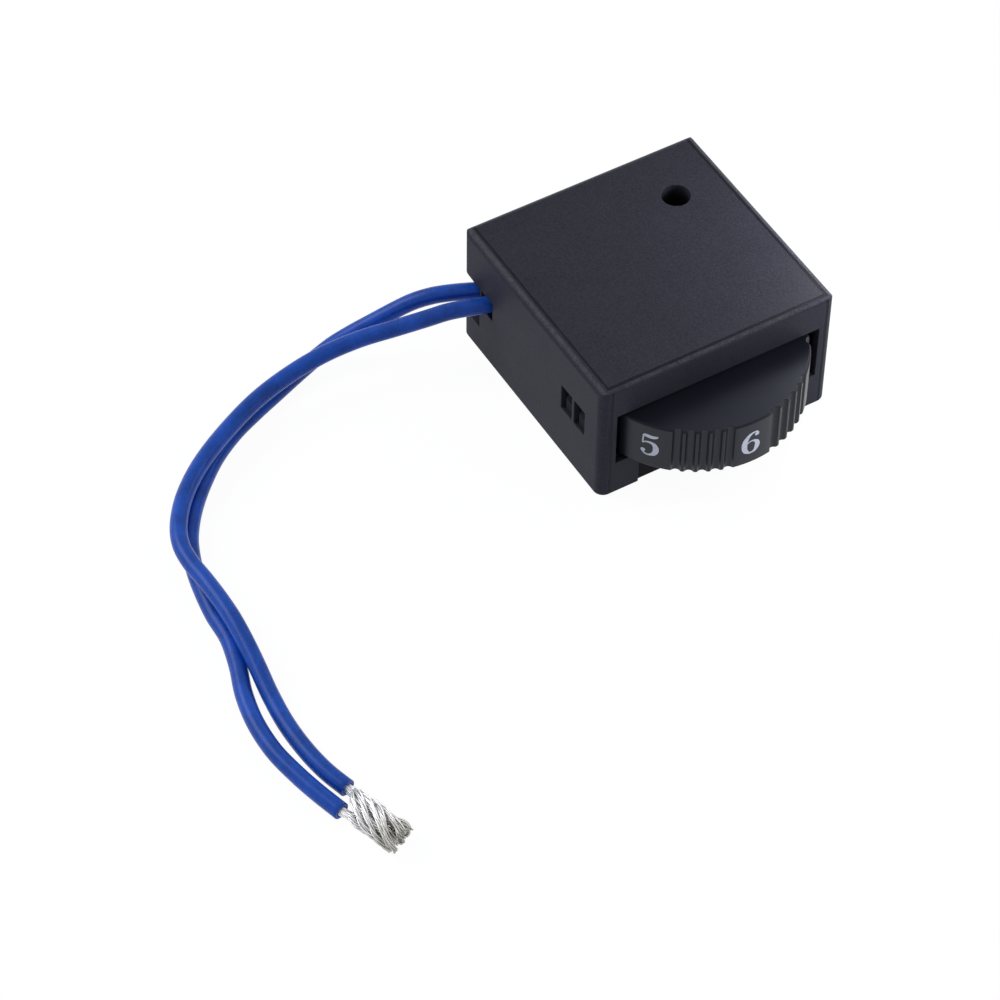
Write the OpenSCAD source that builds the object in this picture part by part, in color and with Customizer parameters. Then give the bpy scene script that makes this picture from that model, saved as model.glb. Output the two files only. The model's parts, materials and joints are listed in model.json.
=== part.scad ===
// Speed switch of a hand-held power tool. A numbered thumbwheel stands out of the front of a
// moulded box and turns a small potentiometer on the board inside. Two blue leads come out of
// ports in the left wall. Millimetres, +Z up, front towards -Y, origin at the middle of the foot.

/* [Housing] */
// Width of the housing, side to side
housing_w = 32; // [31.6:0.1:35]
// Depth of the housing, front to back
housing_d = 31.7; // [31.3:0.1:35]
// Height of the housing
housing_h = 17.6; // [17.4:0.1:22]
// Thickness of the side, front and rear walls
wall = 1.2; // [1:0.05:1.3]
// Thickness of the top wall
top_wall = 1.4; // [1.1:0.1:1.6]
// Radius of the four upright edges
corner_r = 1.3; // [0.6:0.1:1.6]
// Radius of the two side edges of the top
side_edge_r = 1.1; // [0.6:0.1:1.4]
// Radius of the front edge of the top
front_edge_r = 0.75; // [0.3:0.05:0.9]
// Radius of the rear edge of the top
rear_edge_r = 1.3; // [0.6:0.1:1.4]
// Radius that rounds off the four top corners
top_corner_r = 1.7; // [1.1:0.1:1.8]

/* [Thumbwheel] */
// Gap between the thumbwheel and the snap tongues beside it, which sets its diameter
wheel_gap = 0.27; // [0.2:0.01:0.5]
// Height of the thumbwheel's rim
dial_h = 7; // [6.6:0.1:7.2]
// Axis of the thumbwheel behind the front face
axis_inset = 5.75; // [5.5:0.05:6.2]
// Gap between the board and the underside of the thumbwheel
dial_rise = 2; // [1.8:0.05:2.3]
// Chamfer along both edges of the rim
dial_chamfer = 0.2; // [0.1:0.05:0.5]
// Thickness of the rim, measured inwards
rim_t = 1.6; // [1.2:0.1:2]
// Thickness of the wheel's flat top plate
plate_t = 1.5; // [1.2:0.1:2]
// Radius of the grooves between the finger ridges
flute_r = 0.62; // [0.5:0.01:0.65]
// Depth of those grooves below the lands
flute_depth = 0.5; // [0.3:0.05:0.6]
// Width of the spokes under the top plate
spoke_w = 1; // [0.8:0.1:1.4]
// Number of lands round the rim
land_count = 7; // [7:1:8]
// Number of lands that carry a number
number_count = 6; // [4:1:6]

/* [Openings] */
// Play between the wheel and each end of the front slot
slot_side_gap = 0.05; // [0.05:0.05:0.2]
// Gap between the wheel and the lower edge of the slot
slot_under_gap = 0.35; // [0.3:0.05:0.5]
// Gap between the wheel and the upper edge of the slot
slot_over_gap = 0.6; // [0.4:0.05:0.8]
// Width of each snap window in the side walls
window_w = 2.35; // [2:0.05:2.5]
// Height of each snap window
window_h = 3.8; // [3:0.1:4.2]
// Lower edge of the snap windows above the foot
window_lift = 7.4; // [7:0.1:7.8]
// Step from each end of the slot to the part that is open down to the foot
lip_step = 3.3; // [3:0.1:3.6]
// Setback of the base's front tongue in that opening
lip_recess = 0.35; // [0.2:0.05:0.4]
// Width of the rib between the two windows of a side
window_rib = 0.5; // [0.4:0.1:0.9]
// Front window's front edge behind the front face
window_inset = 3.75; // [3.5:0.05:4]
// Bore of the mounting hole through the housing
hole_d = 3.6; // [3.2:0.1:3.8]
// Centre of the mounting hole from the right side face
hole_side_inset = 7.4; // [7.2:0.05:7.8]
// Place of the mounting hole between wheel and rear wall, as a share of that room
hole_place_share = 0.35; // [0.3:0.01:0.45]

/* [Base and board] */
// Thickness of the base plate
base_t = 1.4; // [1.2:0.1:1.6]
// Play round the base plate inside the walls
base_gap = 0.08; // [0.05:0.01:0.12]
// Thickness of the snap tongues
tongue_t = 0.6; // [0.5:0.05:0.65]
// Height of the board above the base plate
board_gap = 1; // [0.9:0.1:1.2]
// Thickness of the circuit board
board_t = 1; // [0.8:0.1:1]
// Wall thickness of the guide tube round the mounting hole
tube_t = 1.2; // [0.9:0.1:1.3]

/* [Leads] */
// Diameter of the blue insulation
wire_d = 2.1; // [1.8:0.05:2.1]
// Diameter of the stranded core inside the box
core_d = 1.1; // [0.8:0.1:1.2]
// Diameter of each bundle of bare strands at the free end
strand_d = 1.45; // [1.2:0.05:1.5]

/* [Hidden] */

$fn = 64;
// Overrun of every cut past the face it leaves
over = 0.5;
// Depth that fused pieces share
merge = 0.3;

// The housing's faces and its hollow
front_y = -housing_d / 2;
rear_y = housing_d / 2;
side_x = housing_w / 2;
inner_x = side_x - wall;
inner_front = front_y + wall;
inner_rear = rear_y - wall;
ceiling = housing_h - top_wall;
// Half the distance between opposite upright edges, just outside their rounding
diagonal_gap = 0.02;
diagonal_reach = (side_x + rear_y - 2 * corner_r) / sqrt(2) + corner_r + diagonal_gap;

// Levels of the base and the board
board_z = base_t + board_gap;
board_top = board_z + board_t;
board_side_gap = 0.9;
board_end_gap = 0.35;
board_x = inner_x - board_side_gap;
board_front = inner_front + board_end_gap;
board_rear = inner_rear - board_end_gap;

// The wheel's axis and levels, and the room that it leaves before the rear wall
dial_r = inner_x - base_gap - tongue_t - wheel_gap;
axis_y = front_y + axis_inset;
dial_lift = board_top + dial_rise;
dial_top = dial_lift + dial_h;
dial_rear = axis_y + dial_r;
rear_room = inner_rear - dial_rear;
web_z = dial_top - plate_t;
rim_inner_r = dial_r - rim_t;
// Eight groove places in each sector of the rim, of which the land takes three
places_per_land = 8;
grooves_per_land = 5;
land_pitch = 360 / land_count;
groove_pitch = land_pitch / places_per_land;
// The land before the fifth number's gives up its last groove, so that the fifth is one place wider
short_sector = 2;
// Direction of the last number's land, nearly straight ahead, as it stands in the photograph
last_land_angle = 269;

// Front slot
slot_w = 2 * (dial_r + slot_side_gap);
slot_z = dial_lift - slot_under_gap;
slot_h = slot_under_gap + dial_h + slot_over_gap;
// The housing is lowered over the wheel, so the slot's middle is open down to the foot, and a
// tongue of the base closes it up to just under the wheel
lip_x = slot_w / 2 - lip_step;
lip_drop = 1.6;
lip_top = dial_lift - lip_drop;

// Snap windows: front one, rear one, and the tongue behind both
window_front = front_y + window_inset;
window_ys = [window_front, window_front + window_w + window_rib];
tongue_side = 0.2;
tongue_tip_gap = 0.3;
hook_side_gap = 0.1;
hook_rear_gap = 0.6;
hook_foot_gap = 0.12;
hook_recess = 0.35;
hook_top_gap = 0.35;
hook_ramp_share = 0.55;

// Lead ports in the left wall: a notch out of the rear corner and a square one before it
port_top = 10.5;
notch_front_inset = 4.05;
notch_z = 4;
notch_depth = 2.5;
square_port_w = 2.5;
port_rib = 0.4;
square_port_z = 7.7;

// Mounting hole, its guide tube and the collar under the ceiling
hole_r = hole_d / 2;
hole_x = side_x - hole_side_inset;
hole_y = dial_rear + rear_room * hole_place_share;
tube_r = hole_r + tube_t;
tube_gap = 0.1;
tube_shoulder = 0.8;
collar_t = 0.8;
collar_h = 1.3;

// Bearing boss under the ceiling, for the rotor's top journal
journal_play = 0.04;
boss_t = 1.5;
boss_gap = 0.15;
journal_share = 0.63;
journal_bore_share = 0.89;
journal_top = dial_top + (ceiling - dial_top) * journal_share;
journal_bore_top = dial_top + (ceiling - dial_top) * journal_bore_share;

// Ribs inside the housing that hold the board down
rib_t = 1;
rib_depth = 1.3;
rib_seat_gap = 0.05;
rib_side_gap = 0.15;
left_rib_inset = 9.6;
left_rib_y = rear_y - left_rib_inset;
rear_rib_gap = 1;
ledge_w = 3;
ledge_depth = 0.75;
ledge_h = 1.2;
ledge_side_gap = 0.15;
ledge_x = lip_x + ledge_w / 2 + ledge_side_gap;
stiffener_h = 0.9;

// Posts of the base under the board
post_r = 0.8;
post_inset = 1.6;
peg_r = 0.55;
peg_play = 0.05;
peg_h = 0.5;

// Potentiometer: a round body with a foot at the rear for its three terminals. It fills the
// room between the wheel's axis and the front wall, and its inner parts follow its radius.
pot_front_gap = 0.35;
pot_r = axis_inset - wall - pot_front_gap;
pot_floor_t = 0.4;
pot_cover_top_t = 0.6;
pot_wall_t = 0.6;
pot_cover_h = 2.8;
pot_inner_r = pot_r - pot_wall_t;
pot_floor = board_top + pot_floor_t;
pot_top = pot_floor + pot_cover_h;
foot_w_share = 1.7;
foot_reach_share = 1.28;
foot_w = pot_r * foot_w_share;
foot_reach = pot_r * foot_reach_share;
foot_h = 1.6;
foot_gap = 0.05;
terminal_pitch_share = 0.6;
terminal_pitch = pot_r * terminal_pitch_share;
terminal_w = 0.8;
terminal_t = 0.25;
terminal_inset = 0.9;
terminal_play = 0.05;
tab_t = 0.2;
tab_share = 0.65;
shaft_share = 0.36;
shaft_r = pot_r * shaft_share;
shaft_play = 0.06;
flat_share = 0.25;
flat_depth = shaft_r * flat_share;
pilot_share = 0.6;
pilot_r = shaft_r * pilot_share;
pilot_play = 0.04;
pilot_end_gap = 0.05;
hub_play = 0.02;
journal_r = shaft_r - flat_depth - hub_play;
element_gap = 0.1;
element_t = 0.5;
element_r = pot_inner_r - element_gap;
element_play = 0.3;
element_bore_r = pilot_r + element_play;
element_top = pot_floor + element_t;
film_t = 0.06;
// Inner and outer edges of the two films, as shares of the disc from its bore to its rim
collector_shares = [0.13, 0.35];
track_shares = [0.54, 0.85];
element_band = element_r - element_bore_r;
collector_rs = [for (k = collector_shares) element_bore_r + element_band * k];
track_rs = [for (k = track_shares) element_bore_r + element_band * k];
track_angle = 300;
wiper_t = 0.15;
wiper_drop = 0.45;
wiper_play = 0.05;
wiper_w = 0.9;
wiper_foot_share = 0.5;
wiper_z = element_top + film_t + wiper_play + wiper_drop;
rotor_gap = 0.3;
rotor_top_gap = 0.24;
rotor_r = pot_inner_r - rotor_gap;
rotor_z = wiper_z + wiper_t;
rotor_t = pot_top - pot_cover_top_t - rotor_top_gap - rotor_z;

// Hub and end stops: a finger on the hub, an arc on the potentiometer's cover
hub_share = 0.64;
hub_r = pot_r * hub_share;
hub_gap = 0.15;
hub_z = pot_top + hub_gap;
finger_angle = 20;
finger_h = 1.5;
stop_play_angle = 1;
stop_h = 1.3;
stop_gap = 0.25;
travel = (number_count - 1) * land_pitch;
stop_angle = 360 - travel - finger_angle - 2 * stop_play_angle;
stop_start = 90 - stop_angle / 2;
finger_start = stop_start + stop_angle + stop_play_angle;
spoke_count = 6;
spoke_gap = 0.45;
spoke_z = hub_z + finger_h + spoke_gap;

// Pins under the board
pin_tail = 0.6;
pin_end = board_z - pin_tail;
pin_play = 0.08;
round_pin_r = 0.3;
solder_r = 0.75;
solder_h = 0.5;

// Triac and film capacitor stand one behind the other between the wheel and the rear wall. The
// shares of that room are: triac's front, its plate's front and rear, capacitor's front and rear.
rear_shares = [0.06, 0.26, 0.31, 0.515, 0.955];
rear_ys = [for (k = rear_shares) dial_rear + rear_room * k];

// Triac, its metal plate to the rear
triac_x = -4.6;
triac_w = 7.8;
triac_lift = 1.6;
triac_top_gap = 0.6;
triac_z = board_top + triac_lift;
triac_h = ceiling - triac_top_gap - triac_z;
triac_plate_inset = 0.6;
triac_hole_r = 1.6;
triac_hole_drop = 3;
triac_chamfer = 0.5;
triac_pitch = 2.3;
triac_leg_w = 0.7;
triac_leg_t = 0.5;
triac_y = (rear_ys[0] + rear_ys[1]) / 2;

// Film capacitor
film_x = -2.6;
film_w = 10.4;
film_d = rear_ys[4] - rear_ys[3];
film_foot_h = 0.4;
film_foot_w = 1;
film_edge_r = 0.6;
film_top_gap = 3;
film_pitch = 7.5;
film_y = (rear_ys[3] + rear_ys[4]) / 2;
film_z = board_top + film_foot_h;
film_h = ceiling - film_top_gap - film_z;
rear_rib_x = film_x + film_w / 2 + rear_rib_gap;

// Disc capacitor on edge in the rear right corner, between the guide tube and the wall
disc_r = 1.9;
disc_t = 1.8;
disc_wall_gap = 0.25;
disc_lift = 0.8;
disc_pitch = 2;
disc_sink = 0.9;
disc_x = (hole_x + tube_r + inner_x) / 2;
disc_y = inner_rear - disc_wall_gap - disc_r;
disc_z = board_top + disc_lift + disc_r;
right_rib_y = disc_y - disc_r - rib_side_gap;

// Axial parts lying on the board, low enough for the wheel to turn over them: trigger diac,
// timing resistor and snubber resistor
axial_gap = 0.06;
axial_top_gap = 0.04;
axial_r = (dial_rise - axial_gap - axial_top_gap) / 2;
axial_z = board_top + axial_gap + axial_r;
lead_r = 0.25;
lead_bend_r = 0.6;
diac_l = 4;
diac_span = 7.5;
diac_x = -8;
diac_foot_gap = 1.8;
resistor_l = 5;
resistor_span = 8.4;
resistor_cap_l = 1.1;
resistor_waist_share = 0.86;
timing_x = 6.6;
timing_foot_gap = 1.5;
snubber_wall_gap = 2;
snubber_tube_gap = 0.35;
diac_y = axis_y + foot_reach + diac_foot_gap;
timing_y = axis_y + foot_reach + timing_foot_gap;
snubber_x = inner_x - snubber_wall_gap;
snubber_y = hole_y - tube_r - snubber_tube_gap - resistor_span / 2;

// Leads: routes of the two wires from their solder pads to the stripped ends on the table
wire_r = wire_d / 2;
core_r = core_d / 2;
wire_sides = 8;
wire_a_route = [
    [-10.3, 12.5, 4.6], [-10.3, 12.5, 5.6], [-10.7, 12.5, 7], [-11.9, 12.5, 8.2],
    [-13.6, 12.6, 8.7], [-15, 12.8, 8.9], [-16.6, 13.4, 9.05], [-18.5, 14.2, 9.05],
    [-20.5, 15.2, 8.7], [-22.5, 16.2, 7.9], [-24.5, 17, 6.8], [-27, 17.9, 5.3],
    [-29.5, 18.7, 3.9], [-32, 19.1, 2.8], [-34.5, 18.9, 2], [-37.5, 18.2, 1.4],
    [-41, 17, 1.1], [-45, 15.4, 1.1], [-48.5, 13.8, 1.1], [-52, 11.6, 1.1],
    [-55, 9, 1.1], [-57.5, 6.4, 1.1], [-59.5, 3.8, 1.1], [-61, 1.2, 1.1],
    [-62.2, -2, 1.1], [-63, -5.4, 1.1], [-63.6, -9.4, 1.1], [-64.3, -13.4, 1.1],
    [-65.2, -17.4, 1.1], [-66.2, -21.4, 1.1], [-66.9, -25.6, 1.1], [-67, -30, 1.1],
    [-66.4, -34, 1.1], [-65.6, -37.5, 1.1], [-64.6, -41, 1.1]
];
wire_b_route = [
    [-10, 9, 4.6], [-10, 9, 5.6], [-10.4, 9.2, 7], [-11.5, 9.6, 8.3],
    [-13, 10, 9.05], [-14.6, 10.1, 9.3], [-16.4, 10.2, 9.35], [-18.4, 10.9, 9.3],
    [-20.6, 11.7, 9.05], [-23, 12.5, 8.45], [-26.6, 13.8, 7.5], [-30.6, 15.2, 6.5],
    [-35, 16, 5.5], [-39.8, 15.9, 4.6], [-45, 14.8, 3.9], [-50.4, 12.5, 3.4],
    [-55, 9.7, 3.3], [-58.8, 6.4, 3.3], [-61.4, 3, 3.3], [-62.7, 0, 3.3],
    [-63, -3, 3.3], [-62.8, -6.2, 3.3], [-62.4, -9.4, 3.3], [-62.2, -12.6, 3],
    [-62.3, -16, 2.3], [-62.8, -19.5, 1.6], [-63.5, -23.2, 1.2], [-64, -27.4, 1.1],
    [-63.9, -31.6, 1.1], [-63.4, -35.3, 1.1], [-62.5, -38.6, 1.1]
];

// The two bundles of bare strands are twisted together from where the insulation ends
strand_r = strand_d / 2;
strand_sides = 8;
strand_a_route = [
    [-64.6, -41, 1.1], [-64.2, -42.4, 1.1], [-63.5, -43.4, 1], [-62.7, -43.9, 0.9],
    [-62, -44.3, 0.9], [-61.5, -44.8, 1.2], [-61.2, -45.4, 1.6], [-61.2, -46.1, 2.1],
    [-61.4, -46.8, 2.4], [-61.8, -47.5, 2.4], [-62.1, -48.2, 2.1]
];
strand_b_route = [
    [-62.5, -38.6, 1.1], [-62.2, -39.7, 1.1], [-62, -40.7, 1.3], [-61.9, -41.5, 1.6],
    [-61.9, -42.3, 2], [-61.9, -43, 2.3], [-62, -43.7, 2.5], [-62.4, -44.4, 2.5],
    [-62.7, -45.1, 2.2], [-62.8, -45.8, 1.7], [-62.5, -46.4, 1.1], [-61.9, -46.9, 0.8],
    [-61.2, -47.3, 0.8], [-60.6, -47.8, 1.1]
];

// Places of the three posts under the board; the guide tube's shoulder is the fourth
post_places = [
    [-board_x + post_inset, board_front + post_inset],
    [board_x - post_inset, board_front + post_inset],
    [-board_x + post_inset, left_rib_y - rib_t / 2]
];

// Places of the three terminals across the potentiometer's foot
terminal_xs = [-terminal_pitch, 0, terminal_pitch];
terminal_y = axis_y + foot_reach - terminal_inset;
tab_end_y = axis_y + element_r * tab_share;

// Places of a part's two round pins, side by side or one behind the other
function pair_in_x(x, y, pitch) = [for (s = [-1, 1]) [x + s * pitch / 2, y]];
function pair_in_y(x, y, pitch) = [for (s = [-1, 1]) [x, y + s * pitch / 2]];

film_pins = pair_in_x(film_x, film_y, film_pitch);
disc_pins = pair_in_y(disc_x, disc_y, disc_pitch);
diac_pins = pair_in_x(diac_x, diac_y, diac_span);
timing_pins = pair_in_x(timing_x, timing_y, resistor_span);
snubber_pins = pair_in_y(snubber_x, snubber_y, resistor_span);
triac_pins = [for (k = [-1, 0, 1]) [triac_x + k * triac_pitch, triac_y]];
pads = [[wire_a_route[0].x, wire_a_route[0].y], [wire_b_route[0].x, wire_b_route[0].y]];

function unit(v) = v / norm(v);

// Direction of travel at one point of a route, from its two neighbours
function heading(route, i) =
    let (last = len(route) - 1)
    i == 0 ? unit(route[1] - route[0]) :
    i == last ? unit(route[last] - route[last - 1]) :
    unit(unit(route[i + 1] - route[i]) + unit(route[i] - route[i - 1]));

// Vector v with its part along the unit vector t taken away, brought back to length one
function squared(v, t) = unit(v - (v * t) * t);

// One side vector a point, carried along the route so that the tube isn't twisted
function side_vectors(route) = [
    for (i = 0, v = squared([1, 1, 0], heading(route, 0)); i < len(route);
        i = i + 1, v = i < len(route) ? squared(v, heading(route, i)) : v) v
];

// Points of all rings of a tube along a route
function ring_points(route, r, sides) =
    let (vs = side_vectors(route))
    [
        for (i = [0 : len(route) - 1])
        let (t = heading(route, i), v = vs[i], w = cross(t, v))
        for (k = [0 : sides - 1])
        route[i] + r * cos(360 * k / sides) * v + r * sin(360 * k / sides) * w
    ];

// Faces of that tube: two closed ends and triangles between neighbouring rings
function tube_faces(rings, sides) = concat(
    [[for (k = [0 : sides - 1]) k]],
    [[for (k = [sides - 1 : -1 : 0]) (rings - 1) * sides + k]],
    [
        for (i = [0 : rings - 2])
        for (k = [0 : sides - 1])
        let (a = i * sides + k, b = i * sides + (k + 1) % sides)
        [a, a + sides, b]
    ],
    [
        for (i = [0 : rings - 2])
        for (k = [0 : sides - 1])
        let (a = i * sides + k, b = i * sides + (k + 1) % sides)
        [b, a + sides, b + sides]
    ]
);

module tube_along(route, r, sides) {
    polyhedron(points = ring_points(route, r, sides), faces = tube_faces(len(route), sides));
}

module bar(w, d, h) {
    translate([-w / 2, -d / 2, 0])
    cube([w, d, h]);
}

// Box from one corner to the opposite one
module block(from, to) {
    translate(from)
    cube(to - from);
}

// Ring or sector of a ring with a square section
module ring(outer, inner, h, angle = 360) {
    rotate_extrude(angle = angle)
    translate([inner, 0])
    square([outer - inner, h]);
}

module rounded_rectangle(w, d, r) {
    square([w - 2 * r, d], center = true);
    square([w, d - 2 * r], center = true);
    for (sx = [-1, 1])
    for (sy = [-1, 1])
    translate([sx * (w / 2 - r), sy * (d / 2 - r)])
    circle(r);
}

// Half of the housing's upright outline, with a rounded top corner
module arch_side(w, h, r) {
    translate([-merge, -over])
    square([w / 2 + merge, h - r + over]);
    translate([-merge, 0])
    square([w / 2 - r + merge, h]);
    translate([w / 2 - r, h - r])
    circle(r);
}

module arch_outline(w, h, r, other_r) {
    arch_side(w, h, r);
    mirror([1, 0])
    arch_side(w, h, other_r);
}

module housing_block() {
    intersection() {
        linear_extrude(housing_h)
        rounded_rectangle(housing_w, housing_d, corner_r);
        translate([0, rear_y + over, 0])
        rotate([90, 0, 0])
        linear_extrude(housing_d + 2 * over)
        arch_outline(housing_w, housing_h, side_edge_r, side_edge_r);
        translate([-side_x - over, 0, 0])
        rotate([90, 0, 90])
        linear_extrude(housing_w + 2 * over)
        arch_outline(housing_d, housing_h, rear_edge_r, front_edge_r);
        for (turn = [-45, 45])
        rotate([0, 0, turn])
        translate([0, diagonal_reach + over, 0])
        rotate([90, 0, 0])
        linear_extrude(2 * (diagonal_reach + over))
        arch_outline(2 * diagonal_reach, housing_h, top_corner_r, top_corner_r);
    }
}

// Upright rib on an inner wall that holds the board down
module board_rib(x0, x1, y0, y1) {
    block([x0, y0, board_top + rib_seat_gap], [x1, y1, ceiling + merge]);
}

module housing_ribs() {
    board_rib(-inner_x - merge, -inner_x + rib_depth, left_rib_y - rib_t, left_rib_y);
    board_rib(inner_x - rib_depth, inner_x + merge, right_rib_y - rib_t, right_rib_y);
    board_rib(rear_rib_x, rear_rib_x + rib_t, inner_rear - rib_depth, inner_rear + merge);
    for (s = [-1, 1])
    translate([s * ledge_x, 0, 0])
    block(
        [-ledge_w / 2, inner_front - merge, board_top + rib_seat_gap],
        [ledge_w / 2, inner_front + ledge_depth, board_top + rib_seat_gap + ledge_h]
    );
    // Stiffening rib between the triac and the film capacitor
    stiffener_y = (rear_ys[2] + rear_ys[3]) / 2;
    block(
        [-inner_x - merge, stiffener_y - rib_t / 2, ceiling - stiffener_h],
        [hole_x - tube_r - collar_t, stiffener_y + rib_t / 2, ceiling + merge]
    );
}

module windows(s) {
    for (y = window_ys)
    block(
        [s > 0 ? inner_x - over : -side_x - over, y, window_lift],
        [s > 0 ? side_x + over : -inner_x + over, y + window_w, window_lift + window_h]
    );
}

module lead_ports() {
    notch_y = rear_y - notch_front_inset;
    block(
        [-side_x - over, notch_y, notch_z],
        [-side_x + notch_depth, rear_y + over, port_top]
    );
    block(
        [-side_x - over, notch_y - port_rib - square_port_w, square_port_z],
        [-inner_x + over, notch_y - port_rib, port_top]
    );
}

module housing() {
    boss_r = journal_r + boss_t;
    color([0.21, 0.21, 0.24])
    difference() {
        union() {
            difference() {
                housing_block();
                block([-inner_x, inner_front, -over], [inner_x, inner_rear, ceiling]);
            }
            translate([0, axis_y, dial_top + boss_gap])
            cylinder(r = boss_r, h = ceiling + merge - dial_top - boss_gap);
            translate([hole_x, hole_y, ceiling - collar_h])
            cylinder(r = tube_r + tube_gap + collar_t, h = collar_h + merge);
            housing_ribs();
        }
        block([-slot_w / 2, front_y - over, slot_z], [slot_w / 2, inner_front + over, slot_z + slot_h]);
        block([-lip_x, front_y - over, -over], [lip_x, inner_front + over, slot_z + over]);
        for (s = [-1, 1])
        windows(s);
        lead_ports();
        translate([hole_x, hole_y, ceiling - over])
        cylinder(r = hole_r, h = top_wall + 2 * over);
        translate([hole_x, hole_y, ceiling - collar_h - over])
        cylinder(r = tube_r + tube_gap, h = collar_h + over);
        translate([0, axis_y, dial_top])
        cylinder(r = journal_r + journal_play, h = journal_bore_top - dial_top);
    }
}

// Hook of a snap tongue in one window, with its ramp towards the top
module hook(y) {
    low = window_lift + hook_foot_gap;
    high = window_lift + window_h - hook_top_gap;
    inside = inner_x - base_gap - merge;
    outside = side_x - hook_recess;
    bend = low + (high - low) * hook_ramp_share;
    translate([0, y + window_w - hook_rear_gap, 0])
    rotate([90, 0, 0])
    linear_extrude(window_w - hook_rear_gap - hook_side_gap)
    polygon([[inside, low], [outside, low], [outside, bend], [inner_x - base_gap, high], [inside, high]]);
}

module snap_tongue() {
    outer = inner_x - base_gap;
    y0 = window_ys[0] - tongue_side;
    y1 = window_ys[1] + window_w + tongue_side;
    block([outer - tongue_t, y0, base_t - merge], [outer, y1, window_lift + window_h - tongue_tip_gap]);
    for (y = window_ys)
    hook(y);
}

// Tongue that closes the housing's front opening below the wheel
module front_tongue() {
    half = lip_x - base_gap;
    block([-half, front_y + lip_recess, 0], [half, inner_front, lip_top]);
    block([-half, inner_front - merge, 0], [half, inner_front + base_gap + merge, base_t]);
}

module base_cover() {
    color([0.17, 0.17, 0.19])
    difference() {
        union() {
            block(
                [-inner_x + base_gap, inner_front + base_gap, 0],
                [inner_x - base_gap, inner_rear - base_gap, base_t]
            );
            for (p = post_places)
            translate([p.x, p.y, base_t - merge])
            cylinder(r = post_r, h = board_gap + merge);
            translate([post_places[2].x, post_places[2].y, board_z - merge])
            cylinder(r = peg_r, h = board_t + peg_h + merge);
            translate([hole_x, hole_y, 0])
            cylinder(r = tube_r, h = ceiling - tube_gap);
            translate([hole_x, hole_y, base_t - merge])
            cylinder(r = tube_r + tube_shoulder, h = board_gap + merge);
            front_tongue();
            snap_tongue();
            mirror([1, 0, 0])
            snap_tongue();
        }
        translate([hole_x, hole_y, -over])
        cylinder(r = hole_r, h = ceiling + 2 * over);
    }
}

// Angles of the grooves of one sector, counted from the middle of its land
function groove_angles(sector) = [
    for (k = [0 : grooves_per_land - (sector == short_sector ? 2 : 1)])
    last_land_angle - sector * land_pitch
    + (k + (places_per_land - grooves_per_land + 1) / 2) * groove_pitch
];

module rim_grooves() {
    for (sector = [0 : land_count - 1])
    for (a = groove_angles(sector))
    rotate([0, 0, a])
    translate([dial_r + flute_r - flute_depth, 0, -over])
    cylinder(r = flute_r, h = dial_h + 2 * over);
}

// Section of the wheel's rim and top plate, turned round the axis
module wheel_outline() {
    polygon([
        [0, dial_h - plate_t],
        [rim_inner_r, dial_h - plate_t],
        [rim_inner_r, 0],
        [dial_r - dial_chamfer, 0],
        [dial_r, dial_chamfer],
        [dial_r, dial_h - dial_chamfer],
        [dial_r - dial_chamfer, dial_h],
        [0, dial_h]
    ]);
}

// Round shaft with one flat, or the hole for it when grown by the play
module flatted_shaft(h, play) {
    intersection() {
        cylinder(r = shaft_r + play, h = h);
        translate([-shaft_r - over, -shaft_r - over, 0])
        cube([2 * shaft_r + over - flat_depth + play, 2 * (shaft_r + over), h]);
    }
}

module thumbwheel() {
    color([0.13, 0.14, 0.16])
    translate([0, axis_y, 0])
    difference() {
        union() {
            translate([0, 0, dial_lift])
            difference() {
                rotate_extrude($fn = 128)
                wheel_outline();
                rim_grooves();
            }
            translate([0, 0, hub_z])
            cylinder(r = hub_r, h = dial_top - hub_z);
            for (k = [0 : spoke_count - 1])
            rotate([0, 0, 360 * k / spoke_count])
            translate([0, -spoke_w / 2, spoke_z])
            cube([rim_inner_r + merge, spoke_w, web_z + merge - spoke_z]);
            translate([0, 0, hub_z])
            rotate([0, 0, finger_start])
            ring(pot_r - foot_gap, hub_r - merge, finger_h, finger_angle);
        }
        translate([0, 0, hub_z - over])
        flatted_shaft(dial_top - hub_z + 2 * over, hub_play);
    }
}

module pot_rotor() {
    shaft_z = rotor_z + rotor_t;
    color([0.86, 0.86, 0.82])
    translate([0, axis_y, 0])
    union() {
        translate([0, 0, board_top + pilot_end_gap])
        cylinder(r = pilot_r, h = rotor_z - board_top - pilot_end_gap + merge);
        translate([0, 0, rotor_z])
        cylinder(r = rotor_r, h = rotor_t);
        translate([0, 0, shaft_z - merge])
        cylinder(r = shaft_r, h = hub_z - shaft_z + merge);
        translate([0, 0, hub_z - merge])
        flatted_shaft(dial_top - hub_z + merge, 0);
        translate([0, 0, dial_top - merge])
        cylinder(r = journal_r, h = journal_top - dial_top + merge);
    }
}

// Spring wiper: a washer round the pilot, and an arm with two feet down to the films
module pot_wiper() {
    wiper_foot = wiper_w * wiper_foot_share;
    color([0.8, 0.62, 0.28])
    translate([0, axis_y, 0])
    rotate([0, 0, finger_start])
    difference() {
        union() {
            translate([0, 0, wiper_z])
            cylinder(r = collector_rs[1], h = wiper_t);
            translate([0, -wiper_w / 2, wiper_z])
            cube([track_rs[1], wiper_w, wiper_t]);
            for (rs = [track_rs, collector_rs])
            translate([(rs[0] + rs[1] - wiper_t) / 2, -wiper_foot / 2, wiper_z - wiper_drop])
            cube([wiper_t, wiper_foot, wiper_drop + wiper_t]);
        }
        translate([0, 0, wiper_z - over])
        cylinder(r = pilot_r, h = wiper_t + 2 * over);
    }
}

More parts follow.
